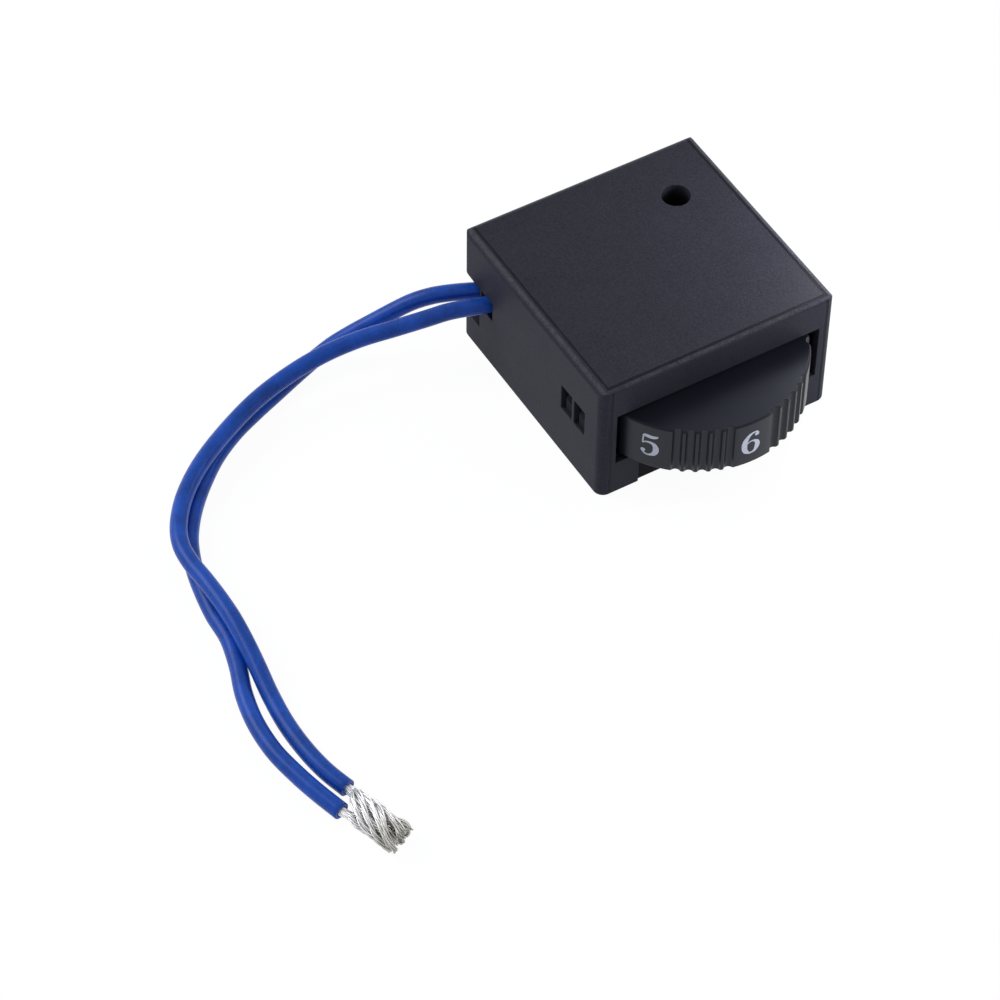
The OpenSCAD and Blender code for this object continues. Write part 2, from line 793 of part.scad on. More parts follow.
module pot_cover() {
    color([0.16, 0.27, 0.22])
    translate([0, axis_y, 0])
    difference() {
        union() {
            translate([0, 0, pot_floor])
            cylinder(r = pot_r, h = pot_cover_h);
            translate([0, 0, pot_top - merge])
            rotate([0, 0, stop_start])
            ring(pot_r - foot_gap, hub_r + stop_gap, stop_h + merge, stop_angle);
        }
        translate([0, 0, pot_floor - over])
        cylinder(r = pot_inner_r, h = pot_cover_h - pot_cover_top_t + over);
        translate([0, 0, pot_floor])
        cylinder(r = shaft_r + shaft_play, h = pot_cover_h + over);
    }
}

// One terminal: a blade down through the board and a tab forward under the element
module terminal_solid(x, play) {
    translate([x, 0, 0])
    union() {
        block(
            [-terminal_w / 2 - play, terminal_y - terminal_t / 2 - play, pin_end - play],
            [terminal_w / 2 + play, terminal_y + terminal_t / 2 + play, pot_floor]
        );
        block(
            [-terminal_w / 2 - play, tab_end_y - play, pot_floor - tab_t - play],
            [terminal_w / 2 + play, terminal_y + terminal_t / 2 + play, pot_floor]
        );
    }
}

module pot_base() {
    color([0.12, 0.12, 0.13])
    difference() {
        union() {
            translate([0, axis_y, board_top])
            cylinder(r = pot_r, h = pot_floor_t);
            block([-foot_w / 2, axis_y, board_top], [foot_w / 2, axis_y + foot_reach, board_top + foot_h]);
        }
        translate([0, axis_y, pot_floor])
        cylinder(r = pot_r + foot_gap, h = foot_h + over);
        translate([0, axis_y, board_top - over])
        cylinder(r = pilot_r + pilot_play, h = pot_floor_t + 2 * over);
        for (x = terminal_xs)
        terminal_solid(x, terminal_play);
    }
}

module pot_terminal(i) {
    color([0.75, 0.72, 0.6])
    terminal_solid(terminal_xs[i], 0);
}

module pot_element() {
    color([0.45, 0.3, 0.18])
    translate([0, axis_y, pot_floor])
    ring(element_r, element_bore_r, element_t);
}

module pot_track() {
    color([0.08, 0.08, 0.08])
    translate([0, axis_y, element_top])
    rotate([0, 0, 90 + (360 - track_angle) / 2])
    ring(track_rs[1], track_rs[0], film_t, track_angle);
}

module pot_collector() {
    color([0.75, 0.75, 0.76])
    translate([0, axis_y, element_top])
    ring(collector_rs[1], collector_rs[0], film_t);
}

module board_holes(places, r) {
    for (p = places)
    translate([p.x, p.y, board_z - over])
    cylinder(r = r + pin_play, h = board_t + 2 * over, $fn = 24);
}

module circuit_board() {
    color([0.55, 0.42, 0.2])
    difference() {
        block([-board_x, board_front, board_z], [board_x, board_rear, board_top]);
        translate([hole_x, hole_y, board_z - over])
        cylinder(r = tube_r + tube_gap, h = board_t + 2 * over);
        translate([post_places[2].x, post_places[2].y, board_z - over])
        cylinder(r = peg_r + peg_play, h = board_t + 2 * over);
        board_holes(film_pins, round_pin_r);
        board_holes(concat(disc_pins, diac_pins, timing_pins, snubber_pins), lead_r);
        board_holes(pads, core_r);
        for (p = triac_pins)
        translate([p.x, p.y, board_z - over])
        bar(triac_leg_w + 2 * pin_play, triac_leg_t + 2 * pin_play, board_t + 2 * over);
        for (x = terminal_xs)
        translate([x, terminal_y, board_z - over])
        bar(terminal_w + 2 * pin_play, terminal_t + 2 * pin_play, board_t + 2 * over);
    }
}

// Screw hole through the triac's body and plate
module triac_hole() {
    translate([triac_x, rear_ys[0] - over, triac_z + triac_h - triac_hole_drop])
    rotate([-90, 0, 0])
    cylinder(r = triac_hole_r, h = rear_ys[2] - rear_ys[0] + 2 * over);
}

module triac_body() {
    color([0.1, 0.1, 0.11])
    difference() {
        translate([triac_x, rear_ys[1], triac_z])
        rotate([90, 0, 0])
        linear_extrude(rear_ys[1] - rear_ys[0])
        polygon([
            [-triac_w / 2, 0],
            [triac_w / 2, 0],
            [triac_w / 2, triac_h - triac_chamfer],
            [triac_w / 2 - triac_chamfer, triac_h],
            [-triac_w / 2 + triac_chamfer, triac_h],
            [-triac_w / 2, triac_h - triac_chamfer]
        ]);
        triac_hole();
    }
}

module triac_plate() {
    color([0.72, 0.72, 0.74])
    difference() {
        block(
            [triac_x - triac_w / 2 + triac_plate_inset, rear_ys[1], triac_z + triac_plate_inset],
            [triac_x + triac_w / 2 - triac_plate_inset, rear_ys[2], triac_z + triac_h - triac_plate_inset]
        );
        triac_hole();
    }
}

module triac_leg(i) {
    color([0.78, 0.78, 0.8])
    translate([triac_pins[i].x, triac_pins[i].y, pin_end])
    bar(triac_leg_w, triac_leg_t, triac_z - pin_end);
}

module film_capacitor() {
    foot_x = film_w / 2 - film_edge_r - film_foot_w / 2;
    foot_y = film_d / 2 - film_edge_r - film_foot_w / 2;
    color([0.75, 0.6, 0.12])
    translate([film_x, film_y, board_top])
    union() {
        translate([0, 0, film_foot_h])
        linear_extrude(film_h)
        rounded_rectangle(film_w, film_d, film_edge_r);
        for (sx = [-1, 1])
        for (sy = [-1, 1])
        translate([sx * foot_x, sy * foot_y, 0])
        bar(film_foot_w, film_foot_w, film_foot_h + merge);
    }
}

module film_leg(i) {
    color([0.78, 0.78, 0.8])
    translate([film_pins[i].x, film_pins[i].y, pin_end])
    cylinder(r = round_pin_r, h = film_z - pin_end, $fn = 24);
}

module disc_leg_solid(i, play) {
    translate([disc_pins[i].x, disc_pins[i].y, pin_end])
    cylinder(r = lead_r + play, h = board_top + disc_lift + disc_sink - pin_end, $fn = 24);
}

// Dipped ceramic disc, thinner towards its rim, with its two legs let in from below
module disc_capacitor() {
    color([0.72, 0.36, 0.14])
    difference() {
        translate([disc_x, disc_y, disc_z])
        rotate([0, 90, 0])
        rotate_extrude()
        union() {
            translate([0, -disc_t / 2])
            square([disc_r - disc_t / 2, disc_t]);
            intersection() {
                translate([disc_r - disc_t / 2, 0])
                circle(disc_t / 2);
                translate([0, -disc_t])
                square([disc_r + over, 2 * disc_t]);
            }
        }
        for (i = [0, 1])
        disc_leg_solid(i, 0);
    }
}

module disc_leg(i) {
    color([0.78, 0.78, 0.8])
    disc_leg_solid(i, 0);
}

// One bent lead of an axial part lying along X: out of the body's end, round and down
module bent_lead(body_l, span) {
    reach = span / 2 - lead_bend_r - body_l / 2;
    translate([body_l / 2, 0, axial_z])
    rotate([0, 90, 0])
    cylinder(r = lead_r, h = reach, $fn = 24);
    translate([span / 2 - lead_bend_r, 0, axial_z - lead_bend_r])
    rotate([90, 0, 0])
    rotate_extrude(angle = 90)
    translate([lead_bend_r, 0])
    circle(lead_r, $fn = 24);
    translate([span / 2, 0, pin_end])
    cylinder(r = lead_r, h = axial_z - lead_bend_r - pin_end, $fn = 24);
}

module diac_body() {
    color([0.2, 0.3, 0.62])
    translate([diac_x, diac_y, axial_z])
    rotate([0, 90, 0])
    translate([0, 0, -diac_l / 2])
    cylinder(r = axial_r, h = diac_l);
}

module diac_lead(i) {
    color([0.78, 0.78, 0.8])
    translate([diac_x, diac_y, 0])
    rotate([0, 0, i == 0 ? 180 : 0])
    bent_lead(diac_l, diac_span);
}

// Resistor body along X with an end cap at each end
module resistor_solid() {
    rotate([0, 90, 0])
    union() {
        translate([0, 0, -resistor_l / 2])
        cylinder(r = axial_r * resistor_waist_share, h = resistor_l);
        for (s = [-1, 1])
        translate([0, 0, s * (resistor_l - resistor_cap_l) / 2 - resistor_cap_l / 2])
        cylinder(r = axial_r, h = resistor_cap_l);
    }
}

module timing_resistor() {
    color([0.76, 0.66, 0.48])
    translate([timing_x, timing_y, axial_z])
    resistor_solid();
}

module timing_resistor_lead(i) {
    color([0.78, 0.78, 0.8])
    translate([timing_x, timing_y, 0])
    rotate([0, 0, i == 0 ? 180 : 0])
    bent_lead(resistor_l, resistor_span);
}

module snubber_resistor() {
    color([0.4, 0.58, 0.66])
    translate([snubber_x, snubber_y, axial_z])
    rotate([0, 0, 90])
    resistor_solid();
}

module snubber_resistor_lead(i) {
    color([0.78, 0.78, 0.8])
    translate([snubber_x, snubber_y, 0])
    rotate([0, 0, i == 0 ? 270 : 90])
    bent_lead(resistor_l, resistor_span);
}

// Tinned core of a lead, from under the board up to where the insulation begins
module core(route) {
    color([0.8, 0.8, 0.82])
    translate([route[0].x, route[0].y, pin_end])
    cylinder(r = core_r, h = route[0].z - pin_end, $fn = 24);
}

// Solder cones under the board, each round the pin that the child draws
module solder(places, extra) {
    color([0.72, 0.73, 0.76])
    for (p = places)
    difference() {
        translate([p.x, p.y, board_z - solder_h])
        cylinder(r1 = solder_r + extra - solder_h / 2, r2 = solder_r + extra, h = solder_h, $fn = 32);
        translate([p.x, p.y, board_z - solder_h - over])
        children();
    }
}

module round_pin(r) {
    cylinder(r = r, h = solder_h + 2 * over, $fn = 24);
}

module solder_leads() {
    solder(pads, core_r / 2)
    round_pin(core_r);
}

module solder_pot() {
    solder([for (x = terminal_xs) [x, terminal_y]], 0)
    bar(terminal_w, terminal_t, solder_h + 2 * over);
}

module solder_triac() {
    solder(triac_pins, 0)
    bar(triac_leg_w, triac_leg_t, solder_h + 2 * over);
}

module solder_capacitors() {
    solder(film_pins, 0)
    round_pin(round_pin_r);
    solder(disc_pins, 0)
    round_pin(lead_r);
}

module solder_resistors() {
    solder(concat(timing_pins, snubber_pins), 0)
    round_pin(lead_r);
}

module solder_diac() {
    solder(diac_pins, 0)
    round_pin(lead_r);
}

module wire(route) {
    color([0.1, 0.22, 0.62])
    tube_along(route, wire_r, wire_sides);
}

module strands(route) {
    color([0.78, 0.78, 0.78])
    tube_along(route, strand_r, strand_sides);
}

housing();
base_cover();
thumbwheel();
pot_rotor();
pot_wiper();
pot_cover();
pot_base();
pot_element();
pot_track();
pot_collector();
pot_terminal(0);  // pot_terminal_1
pot_terminal(1);  // pot_terminal_2
pot_terminal(2);  // pot_terminal_3
circuit_board();
triac_body();
triac_plate();
triac_leg(0);  // triac_leg_1
triac_leg(1);  // triac_leg_2
triac_leg(2);  // triac_leg_3
film_capacitor();
film_leg(0);  // film_leg_1
film_leg(1);  // film_leg_2
disc_capacitor();
disc_leg(0);  // disc_leg_1
disc_leg(1);  // disc_leg_2
diac_body();
diac_lead(0);  // diac_lead_1
diac_lead(1);  // diac_lead_2
timing_resistor();
timing_resistor_lead(0);  // timing_resistor_lead_1
timing_resistor_lead(1);  // timing_resistor_lead_2
snubber_resistor();
snubber_resistor_lead(0);  // snubber_resistor_lead_1
snubber_resistor_lead(1);  // snubber_resistor_lead_2
core(wire_a_route);  // core_a
core(wire_b_route);  // core_b
wire(wire_a_route);  // wire_a
wire(wire_b_route);  // wire_b
strands(strand_a_route);  // strands_a
strands(strand_b_route);  // strands_b
solder_leads();
solder_pot();
solder_triac();
solder_capacitors();
solder_resistors();
solder_diac();
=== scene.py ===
"""Power tool speed switch: a small moulded box with a numbered thumbwheel and two blue leads.

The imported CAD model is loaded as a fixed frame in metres, +Z up, with the foot of the box on the floor
at z = 0. Each operator below makes or finishes one group of pieces, and main() calls them in order.
"""

import json
import math

import bmesh
import bpy
import numpy as np
from bpy.props import FloatProperty, FloatVectorProperty, PointerProperty
from mathutils import Matrix, Vector


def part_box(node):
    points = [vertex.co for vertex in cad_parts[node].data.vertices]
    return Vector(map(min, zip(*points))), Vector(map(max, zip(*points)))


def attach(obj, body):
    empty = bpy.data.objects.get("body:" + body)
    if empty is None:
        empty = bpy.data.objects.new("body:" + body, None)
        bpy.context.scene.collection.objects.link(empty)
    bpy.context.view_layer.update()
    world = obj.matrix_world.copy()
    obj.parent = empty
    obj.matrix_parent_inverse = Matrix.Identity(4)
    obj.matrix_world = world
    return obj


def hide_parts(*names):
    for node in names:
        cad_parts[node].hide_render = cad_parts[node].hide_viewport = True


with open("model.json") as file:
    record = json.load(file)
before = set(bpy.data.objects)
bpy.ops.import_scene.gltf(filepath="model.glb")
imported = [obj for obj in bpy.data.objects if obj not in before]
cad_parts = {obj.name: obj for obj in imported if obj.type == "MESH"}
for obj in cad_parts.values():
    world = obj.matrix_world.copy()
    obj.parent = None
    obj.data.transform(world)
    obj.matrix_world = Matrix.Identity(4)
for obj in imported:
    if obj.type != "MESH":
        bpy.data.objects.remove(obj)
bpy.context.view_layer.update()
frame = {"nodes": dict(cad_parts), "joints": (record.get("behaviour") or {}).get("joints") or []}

bl_info = {
    "name": "Power tool speed switch",
    "version": (1, 0, 0),
    "blender": (4, 5, 0),
    "location": "View3D > Sidebar > Speed Switch",
    "description": "Builds the speed switch with its thumbwheel, leads and circuit from the packed frame",
    "category": "Object",
}

MM = 0.001
NODES = frame["nodes"]


# ---------------------------------------------------------------- settings


def colour(name, description, default):
    """A colour setting, written in linear light."""
    return FloatVectorProperty(
        name=name, description=description, default=default, size=3, subtype="COLOR", min=0, max=1
    )


def length(name, description, default, low, high):
    """A length setting, in metres."""
    return FloatProperty(
        name=name, description=description, default=default, min=low, max=high,
        unit="LENGTH", subtype="DISTANCE", precision=5,
    )


def share(name, description, default):
    """A setting from nothing to all."""
    return FloatProperty(name=name, description=description, default=default, min=0, max=1, subtype="FACTOR")


def power(name, description, default):
    """A lamp's power, in watts."""
    return FloatProperty(name=name, description=description, default=default, min=0, unit="POWER")


class BoxSettings(bpy.types.PropertyGroup):
    """Housing and base plate."""

    shell: colour("Housing", "Colour of the housing's plastic", (0.0230, 0.0232, 0.0335))
    # Paler colour on the top's rounded edges: partly rubbed wear, partly a painted highlight
    rubbed_and_highlight: colour("Rubbed edge and highlight", "Colour where the top's edges are rubbed and a highlight is painted", (0.062, 0.063, 0.080))
    base: colour("Base plate", "Colour of the base plate's plastic", (0.010, 0.010, 0.013))
    edge: length("Edge break", "Width of the small round on every moulded edge", 0.00009, 0.00002, 0.0003)
    grain: length("Mould grain", "Size of one grain of the matte mould texture", 0.00030, 0.00005, 0.001)
    depth: length("Grain depth", "Height of the mould texture", 0.000022, 0, 0.0001)
    satin: share("Side roughness", "Roughness of the smoother side walls", 0.56)
    matte: share("Top roughness", "Roughness of the grained top", 0.46)
    # Width of the lines that are cut as grooves and darkened with painted shade
    crease: length("Crease width", "Width of the mould lines beside rounded edges", 0.00036, 0.00005, 0.0006)
    side_round: length("Side edge radius", "Radius of the top's side edges", 0.0011, 0.0003, 0.002)
    front_round: length("Front edge radius", "Radius of the top's front edge", 0.00075, 0.0003, 0.002)
    upright_round: length("Upright edge radius", "Radius of the upright edges", 0.0013, 0.0003, 0.002)


class WheelSettings(bpy.types.PropertyGroup):
    """Thumbwheel and its numerals."""

    plastic: colour("Wheel", "Colour of the thumbwheel's plastic", (0.0110, 0.0118, 0.0192))
    ink: colour("Numerals", "Colour of the printed numerals", (0.66, 0.70, 0.82))
    edge: length("Edge break", "Width of the small round on the rim's edges", 0.00007, 0.00002, 0.0002)
    tall: length("Numeral height", "Height of a numeral on the rim", 0.0036, 0.002, 0.005)
    proud: length("Ink thickness", "How far the ink stands proud of the rim", 0.00002, 0.000005, 0.0001)
    sheen: share("Roughness", "Roughness of the wheel's top and rim", 0.38)


class LeadSettings(bpy.types.PropertyGroup):
    """The two insulated leads and their bare ends."""

    jacket: colour("Insulation", "Colour of the leads' insulation", (0.008, 0.078, 0.470))
    across: length("Lead diameter", "Diameter over the insulation", 0.0021, 0.001, 0.004)
    core: length("Core diameter", "Diameter of the stranded core in the insulation", 0.0013, 0.0005, 0.002)
    strand: length("Strand diameter", "Diameter of one bare strand", 0.00019, 0.00008, 0.0004)
    tin: colour("Tinned copper", "Colour of the bare strands", (0.88, 0.88, 0.89))


class CircuitSettings(bpy.types.PropertyGroup):
    """Potentiometer, circuit board and what is soldered to it."""

    board: colour("Board", "Colour of the bare laminate", (0.33, 0.20, 0.075))
    mask: colour("Solder mask", "Colour of the board's lacquer", (0.020, 0.090, 0.035))
    film: colour("Film capacitor", "Colour of the film capacitor's case", (0.48, 0.25, 0.02))
    disc: colour("Disc capacitor", "Colour of the disc capacitor's coating", (0.34, 0.11, 0.03))
    solder: colour("Solder", "Colour of the solder", (0.66, 0.67, 0.69))


class StageSettings(bpy.types.PropertyGroup):
    """Floor, light and camera."""

    floor: colour("Floor", "Colour of the floor", (0.84, 0.86, 0.95))
    shadow: share("Shadow", "How much of the object's shadow the floor keeps", 0.08)
    room: FloatProperty(
        name="Room light", description="Strength of the even light all round", default=0.36, min=0, max=2
    )
    key: power("Key light", "Power of the large lamp behind on the left", 0.8)
    side: power("Side light", "Power of the lamp on the right", 0.06)
    haze: power("Haze light", "Power of the small lamp mirrored in the front right corner", 0.0088)
    lens: FloatProperty(
        name="Lens", description="Focal length on a 36 mm sensor, in mm", default=142.65, min=10, max=500
    )


SETTINGS = {
    "switch_box": BoxSettings,
    "switch_wheel": WheelSettings,
    "switch_leads": LeadSettings,
    "switch_circuit": CircuitSettings,
    "switch_stage": StageSettings,
}


# ---------------------------------------------------------------- shader maths


class Field:
    """One output of a tree of shader nodes. Sums written with it add Math nodes."""

    def __init__(self, sheet, socket):
        self.sheet = sheet
        self.socket = socket

    def maths(self, operation, *values):
        return self.sheet.node("ShaderNodeMath", {"operation": operation}, dict(enumerate(values)))

    def __add__(self, other):
        return self.maths("ADD", self, other)

    def __radd__(self, other):
        return self.maths("ADD", other, self)

    def __sub__(self, other):
        return self.maths("SUBTRACT", self, other)

    def __rsub__(self, other):
        return self.maths("SUBTRACT", other, self)

    def __mul__(self, other):
        return self.maths("MULTIPLY", self, other)

    def __rmul__(self, other):
        return self.maths("MULTIPLY", other, self)

    def __truediv__(self, other):
        return self.maths("DIVIDE", self, other)

    def __abs__(self):
        return self.maths("ABSOLUTE", self)

    def sine(self):
        return self.maths("SINE", self)

    def most(self, other):
        return self.maths("MAXIMUM", self, other)

    def step(self, low, high):
        """0 below low, 1 above high, with a smooth rise between them."""
        return self.sheet.node(
            "ShaderNodeMapRange",
            {"interpolation_type": "SMOOTHSTEP"},
            {"Value": self, "From Min": low, "From Max": high, "To Min": 0.0, "To Max": 1.0},
        )


class Sheet:
    """A tree of shader nodes, from its output back to its patterns."""

    def __init__(self, tree, output):
        self.tree = tree
        self.tree.nodes.clear()
        self.output = self.tree.nodes.new(output)

    def set(self, socket, value):
        """Gives a socket a link, a colour or a number."""
        if isinstance(value, Field):
            self.tree.links.new(value.socket, socket)
        elif isinstance(value, (tuple, list)) and socket.type == "RGBA" and len(value) == 3:
            socket.default_value = (*value, 1.0)
        else:
            socket.default_value = value

    def node(self, kind, settings=None, inputs=None, output=0):
        """Adds a node: its settings first, then the values or links of its sockets."""
        made = self.tree.nodes.new(kind)
        for name, value in (settings or {}).items():
            setattr(made, name, value)
        for name, value in (inputs or {}).items():
            self.set(made.inputs[name], value)
        return Field(self, made.outputs[output])

    def seen(self):
        """1 for the rays of the camera, of mirrors and of glass, 0 for the light that falls on things."""
        path = self.node("ShaderNodeLightPath").socket.node
        camera, mirror, glass = (
            Field(self, path.outputs[f"Is {kind} Ray"]) for kind in ("Camera", "Glossy", "Transmission")
        )
        return camera.most(mirror.most(glass))

    def surface(self, share_of_b, a, b):
        """Ends the tree in shader a turning into shader b."""
        mix = self.node("ShaderNodeMixShader", None, {0: share_of_b, 1: a, 2: b})
        self.set(self.output.inputs["Surface"], mix)


class Finish(Sheet):
    """The nodes of one material, with a Principled shader at their end."""

    def __init__(self, name, **constants):
        self.material = bpy.data.materials.new(name)
        self.material.use_nodes = True
        super().__init__(self.material.node_tree, "ShaderNodeOutputMaterial")
        self.shader = self.tree.nodes.new("ShaderNodeBsdfPrincipled")
        self.tree.links.new(self.shader.outputs[0], self.output.inputs["Surface"])
        self.finish(**constants)

    def place(self):
        """Where a point is on the object, in metres."""
        return self.node("ShaderNodeTexCoord", output="Object")

    def facing(self):
        """The smooth normal of a point, in the object's own directions."""
        return self.node("ShaderNodeTexCoord", output="Normal")

    def parts(self, vector):
        """A vector's three numbers."""
        made = self.node("ShaderNodeSeparateXYZ", None, {"Vector": vector})
        outputs = made.socket.node.outputs
        return [Field(self, outputs[k]) for k in range(3)]

    def noise(self, size, detail=2.0, rough=0.5, stretch=None):
        """Noise with spots of that size in metres, from 0 to 1."""
        vector = self.place()
        if stretch:
            vector = self.node("ShaderNodeMapping", None, {"Vector": vector, "Scale": stretch})
        inputs = {"Vector": vector, "Scale": 1 / size, "Detail": detail, "Roughness": rough}
        return self.node("ShaderNodeTexNoise", None, inputs)

    def cells(self, size):
        """Distance to the nearest of points strewn about that far apart."""
        return self.node("ShaderNodeTexVoronoi", None, {"Vector": self.place(), "Scale": 1 / size})

    def blend(self, share_of_b, a, b):
        """Colour a turning into colour b."""
        return self.node("ShaderNodeMix", {"data_type": "RGBA"}, {0: share_of_b, 6: a, 7: b}, output=2)

    def relief(self, height, depth):
        """Bumps of that height pattern on the surface, depth in metres."""
        bump = self.node("ShaderNodeBump", None, {"Height": height, "Distance": depth, "Strength": 1.0})
        self.finish(Normal=bump)

    def finish(self, **sockets):
        """Sets the shader's sockets, written with _ for a space, and gives the material."""
        for name, value in sockets.items():
            self.set(self.shader.inputs[name.replace("_", " ")], value)
        return self.material


def shade(piece, material):
    """Gives the whole piece one material."""
    piece.data.materials.clear()
    piece.data.materials.append(material)
    if not any(piece is node for node in NODES.values()):
        piece.data.polygons.foreach_set("material_index", np.zeros(len(piece.data.polygons), int))
    return piece


# ---------------------------------------------------------------- shapes


def add_piece(name, points, faces, body, smooth=True):
    """A new mesh piece from whole arrays of points and faces, riding on a body."""
    mesh = bpy.data.meshes.new(name)
    mesh.from_pydata(np.asarray(points, float).reshape(-1, 3), [], faces)
    mesh.polygons.foreach_set("use_smooth", np.full(len(mesh.polygons), smooth))
    mesh.validate()
    mesh.update()
    piece = bpy.data.objects.new(name, mesh)
    bpy.context.scene.collection.objects.link(piece)
    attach(piece, body)
    return piece


def spline(points, spacing):
    """Catmull-Rom curve through the points, resampled evenly.

    Between points b and c with neighbours a and d, the place at t is
    ((2b) + (c - a)t + (2a - 5b + 4c - d)t^2 + (3b - a - 3c + d)t^3) / 2.
    Returns the places and the distance run at each.
    """
    p = np.asarray(points, float)
    p = np.vstack([2 * p[0] - p[1], p, 2 * p[-1] - p[-2]])
    t = np.linspace(0, 1, 24, endpoint=False)[None, :, None]
    a, b, c, d = (p[k : len(p) - 3 + k][:, None, :] for k in range(4))
    fine = (2 * b + (c - a) * t + (2 * a - 5 * b + 4 * c - d) * t**2 + (3 * b - a - 3 * c + d) * t**3) / 2
    fine = np.vstack([fine.reshape(-1, p.shape[1]), p[-2]])
    run = np.concatenate([[0], np.cumsum(np.linalg.norm(np.diff(fine, axis=0), axis=1))])
    count = max(3, int(round(run[-1] / spacing)) + 1)
    at = np.linspace(0, run[-1], count)
    return np.stack([np.interp(at, run, fine[:, k]) for k in range(p.shape[1])], 1), at


def frames(line, reference):
    """Tangent and two cross directions at each place of a line, or of many lines at once.

    The first cross direction is tangent x reference, made one long, and the second is the first x tangent.
    """
    tangent = np.gradient(line, axis=-2)
    tangent /= np.linalg.norm(tangent, axis=-1, keepdims=True)
    across = np.cross(tangent, np.broadcast_to(np.asarray(reference, float), tangent.shape))
    across /= np.linalg.norm(across, axis=-1, keepdims=True)
    return tangent, across, np.cross(across, tangent)


def tube_grid(line, radius, sides, reference):
    """Rings of points round a line: centre + radius (cos a first + sin a second), a from 0 to a full turn."""
    _, first, second = frames(line, reference)
    angle = np.linspace(0, 2 * math.pi, sides, endpoint=False)
    ring = first[..., None, :] * np.cos(angle)[:, None] + second[..., None, :] * np.sin(angle)[:, None]
    return line[..., None, :] + np.asarray(radius)[..., None, None] * ring


def grid_faces(rings, sides, start=0):
    """Four-sided faces between the rings of a closed tube, and a cap at each end, facing outwards."""
    i, j = np.meshgrid(np.arange(rings - 1), np.arange(sides), indexing="ij")
    k = (j + 1) % sides
    quads = np.stack([i * sides + j, i * sides + k, (i + 1) * sides + k, (i + 1) * sides + j], -1)
    faces = (quads.reshape(-1, 4)[:, ::-1] + start).tolist()
    faces.append((np.arange(sides) + start).tolist())
    faces.append((np.arange(sides)[::-1] + start + (rings - 1) * sides).tolist())
    return faces


# An edge that turns less lies inside a flat surface, and one that turns more is crisp
SEAM_TURN = math.radians(1.0)
CRISP_TURN = math.radians(28.0)
# How close in direction a seam runs to an edge that it spoils
SEAM_CLOSE = math.radians(50.0)
# Reach within which the loose triangles' corners become one, in metres, and the turn that still counts as flat
MERGE_REACH = 2e-7
FLAT_TURN = math.radians(0.6)
# Room across and along that an edge needs to be broken, as shares of the break
ROOM_ACROSS, ROOM_ALONG = 2.6, 0.9


def edge_turns(mesh):
    """For every edge of a closed mesh: its turn, its room, its length, and whether a seam runs close to it.

    The turn is the angle between the two face normals, and the room is the narrower face's area over the
    edge's length. A seam is an edge inside a flat surface, and it runs close to an edge that it leaves, at a
    common corner, by less than 50 degrees.
    """
    edges, loops, faces = len(mesh.edges), len(mesh.loops), len(mesh.polygons)
    used = np.zeros(loops, int)
    mesh.loops.foreach_get("edge_index", used)
    sizes = np.zeros(faces, int)
    mesh.polygons.foreach_get("loop_total", sizes)
    face_of = np.repeat(np.arange(faces), sizes)
    order = np.argsort(used, kind="stable")
    first = np.searchsorted(used[order], np.arange(edges))
    pair = np.stack([face_of[order[first]], face_of[order[np.minimum(first + 1, loops - 1)]]], 1)
    normals, areas = np.zeros(faces * 3), np.zeros(faces)
    mesh.polygons.foreach_get("normal", normals)
    mesh.polygons.foreach_get("area", areas)
    normals = normals.reshape(-1, 3)[pair]
    places, corners = np.zeros(len(mesh.vertices) * 3), np.zeros(edges * 2, int)
    mesh.vertices.foreach_get("co", places)
    mesh.edges.foreach_get("vertices", corners)
    corners = corners.reshape(-1, 2)
    ends = places.reshape(-1, 3)[corners]
    lengths = np.linalg.norm(ends[:, 1] - ends[:, 0], axis=1)
    turn = np.arccos(np.clip((normals[:, 0] * normals[:, 1]).sum(1), -1, 1))
    heading = (ends[:, 1] - ends[:, 0]) / np.maximum(lengths, 1e-9)[:, None]
    seam = turn < SEAM_TURN
    close = np.zeros(edges, bool)
    for mine, my_sign in ((0, 1), (1, -1)):
        for other, sign in ((0, 1), (1, -1)):
            shared = corners[seam, mine][:, None] == corners[:, other][None, :]
            along = (heading[seam] * my_sign) @ (heading * sign).T
            close |= (shared & (along > math.cos(SEAM_CLOSE))).any(0)
    return turn, areas[pair].min(1) / np.maximum(lengths, 1e-9), lengths, close


def merged_copy(node, name, body, edge):
    """A CAD node's mesh with its loose triangles merged, flat faces joined and its edges broken.

    Vertices closer than a fifth of a micrometre become one, triangles in one plane become one face, and a
    live Bevel modifier rounds every crisp edge that has room for it and no seam close by. The other crisp
    edges stay sharp, and large faces keep their normals flat. The node is hidden, and the copy shows in its
    place.
    """
    mesh = NODES[node].data.copy()
    mesh.name = name
    work = bmesh.new()
    work.from_mesh(mesh)
    bmesh.ops.remove_doubles(work, verts=work.verts, dist=MERGE_REACH)
    bmesh.ops.dissolve_limit(
        work, angle_limit=FLAT_TURN, verts=work.verts, edges=work.edges, use_dissolve_boundaries=False
    )
    work.to_mesh(mesh)
    work.free()
    mesh.polygons.foreach_set("use_smooth", np.full(len(mesh.polygons), True))
    turn, room, long, close = edge_turns(mesh)
    crisp = turn > CRISP_TURN
    broken = crisp & (room > edge * ROOM_ACROSS) & (long > edge * ROOM_ALONG) & ~close
    weights = mesh.attributes.new("bevel_weight_edge", "FLOAT", "EDGE")
    weights.data.foreach_set("value", broken.astype(float))
    sharp = mesh.attributes.get("sharp_edge") or mesh.attributes.new("sharp_edge", "BOOLEAN", "EDGE")
    sharp.data.foreach_set("value", crisp & ~broken)
    piece = bpy.data.objects.new(name, mesh)
    bpy.context.scene.collection.objects.link(piece)
    bevel = piece.modifiers.new("Edge break", "BEVEL")
    bevel.width = edge
    bevel.segments = 2
    bevel.limit_method = "WEIGHT"
    bevel.use_clamp_overlap = False
    flat = piece.modifiers.new("Flat faces", "WEIGHTED_NORMAL")
    flat.mode = "FACE_AREA"
    flat.weight = 80
    flat.keep_sharp = True
    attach(piece, body)
    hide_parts(node)
    return piece


# ---------------------------------------------------------------- materials


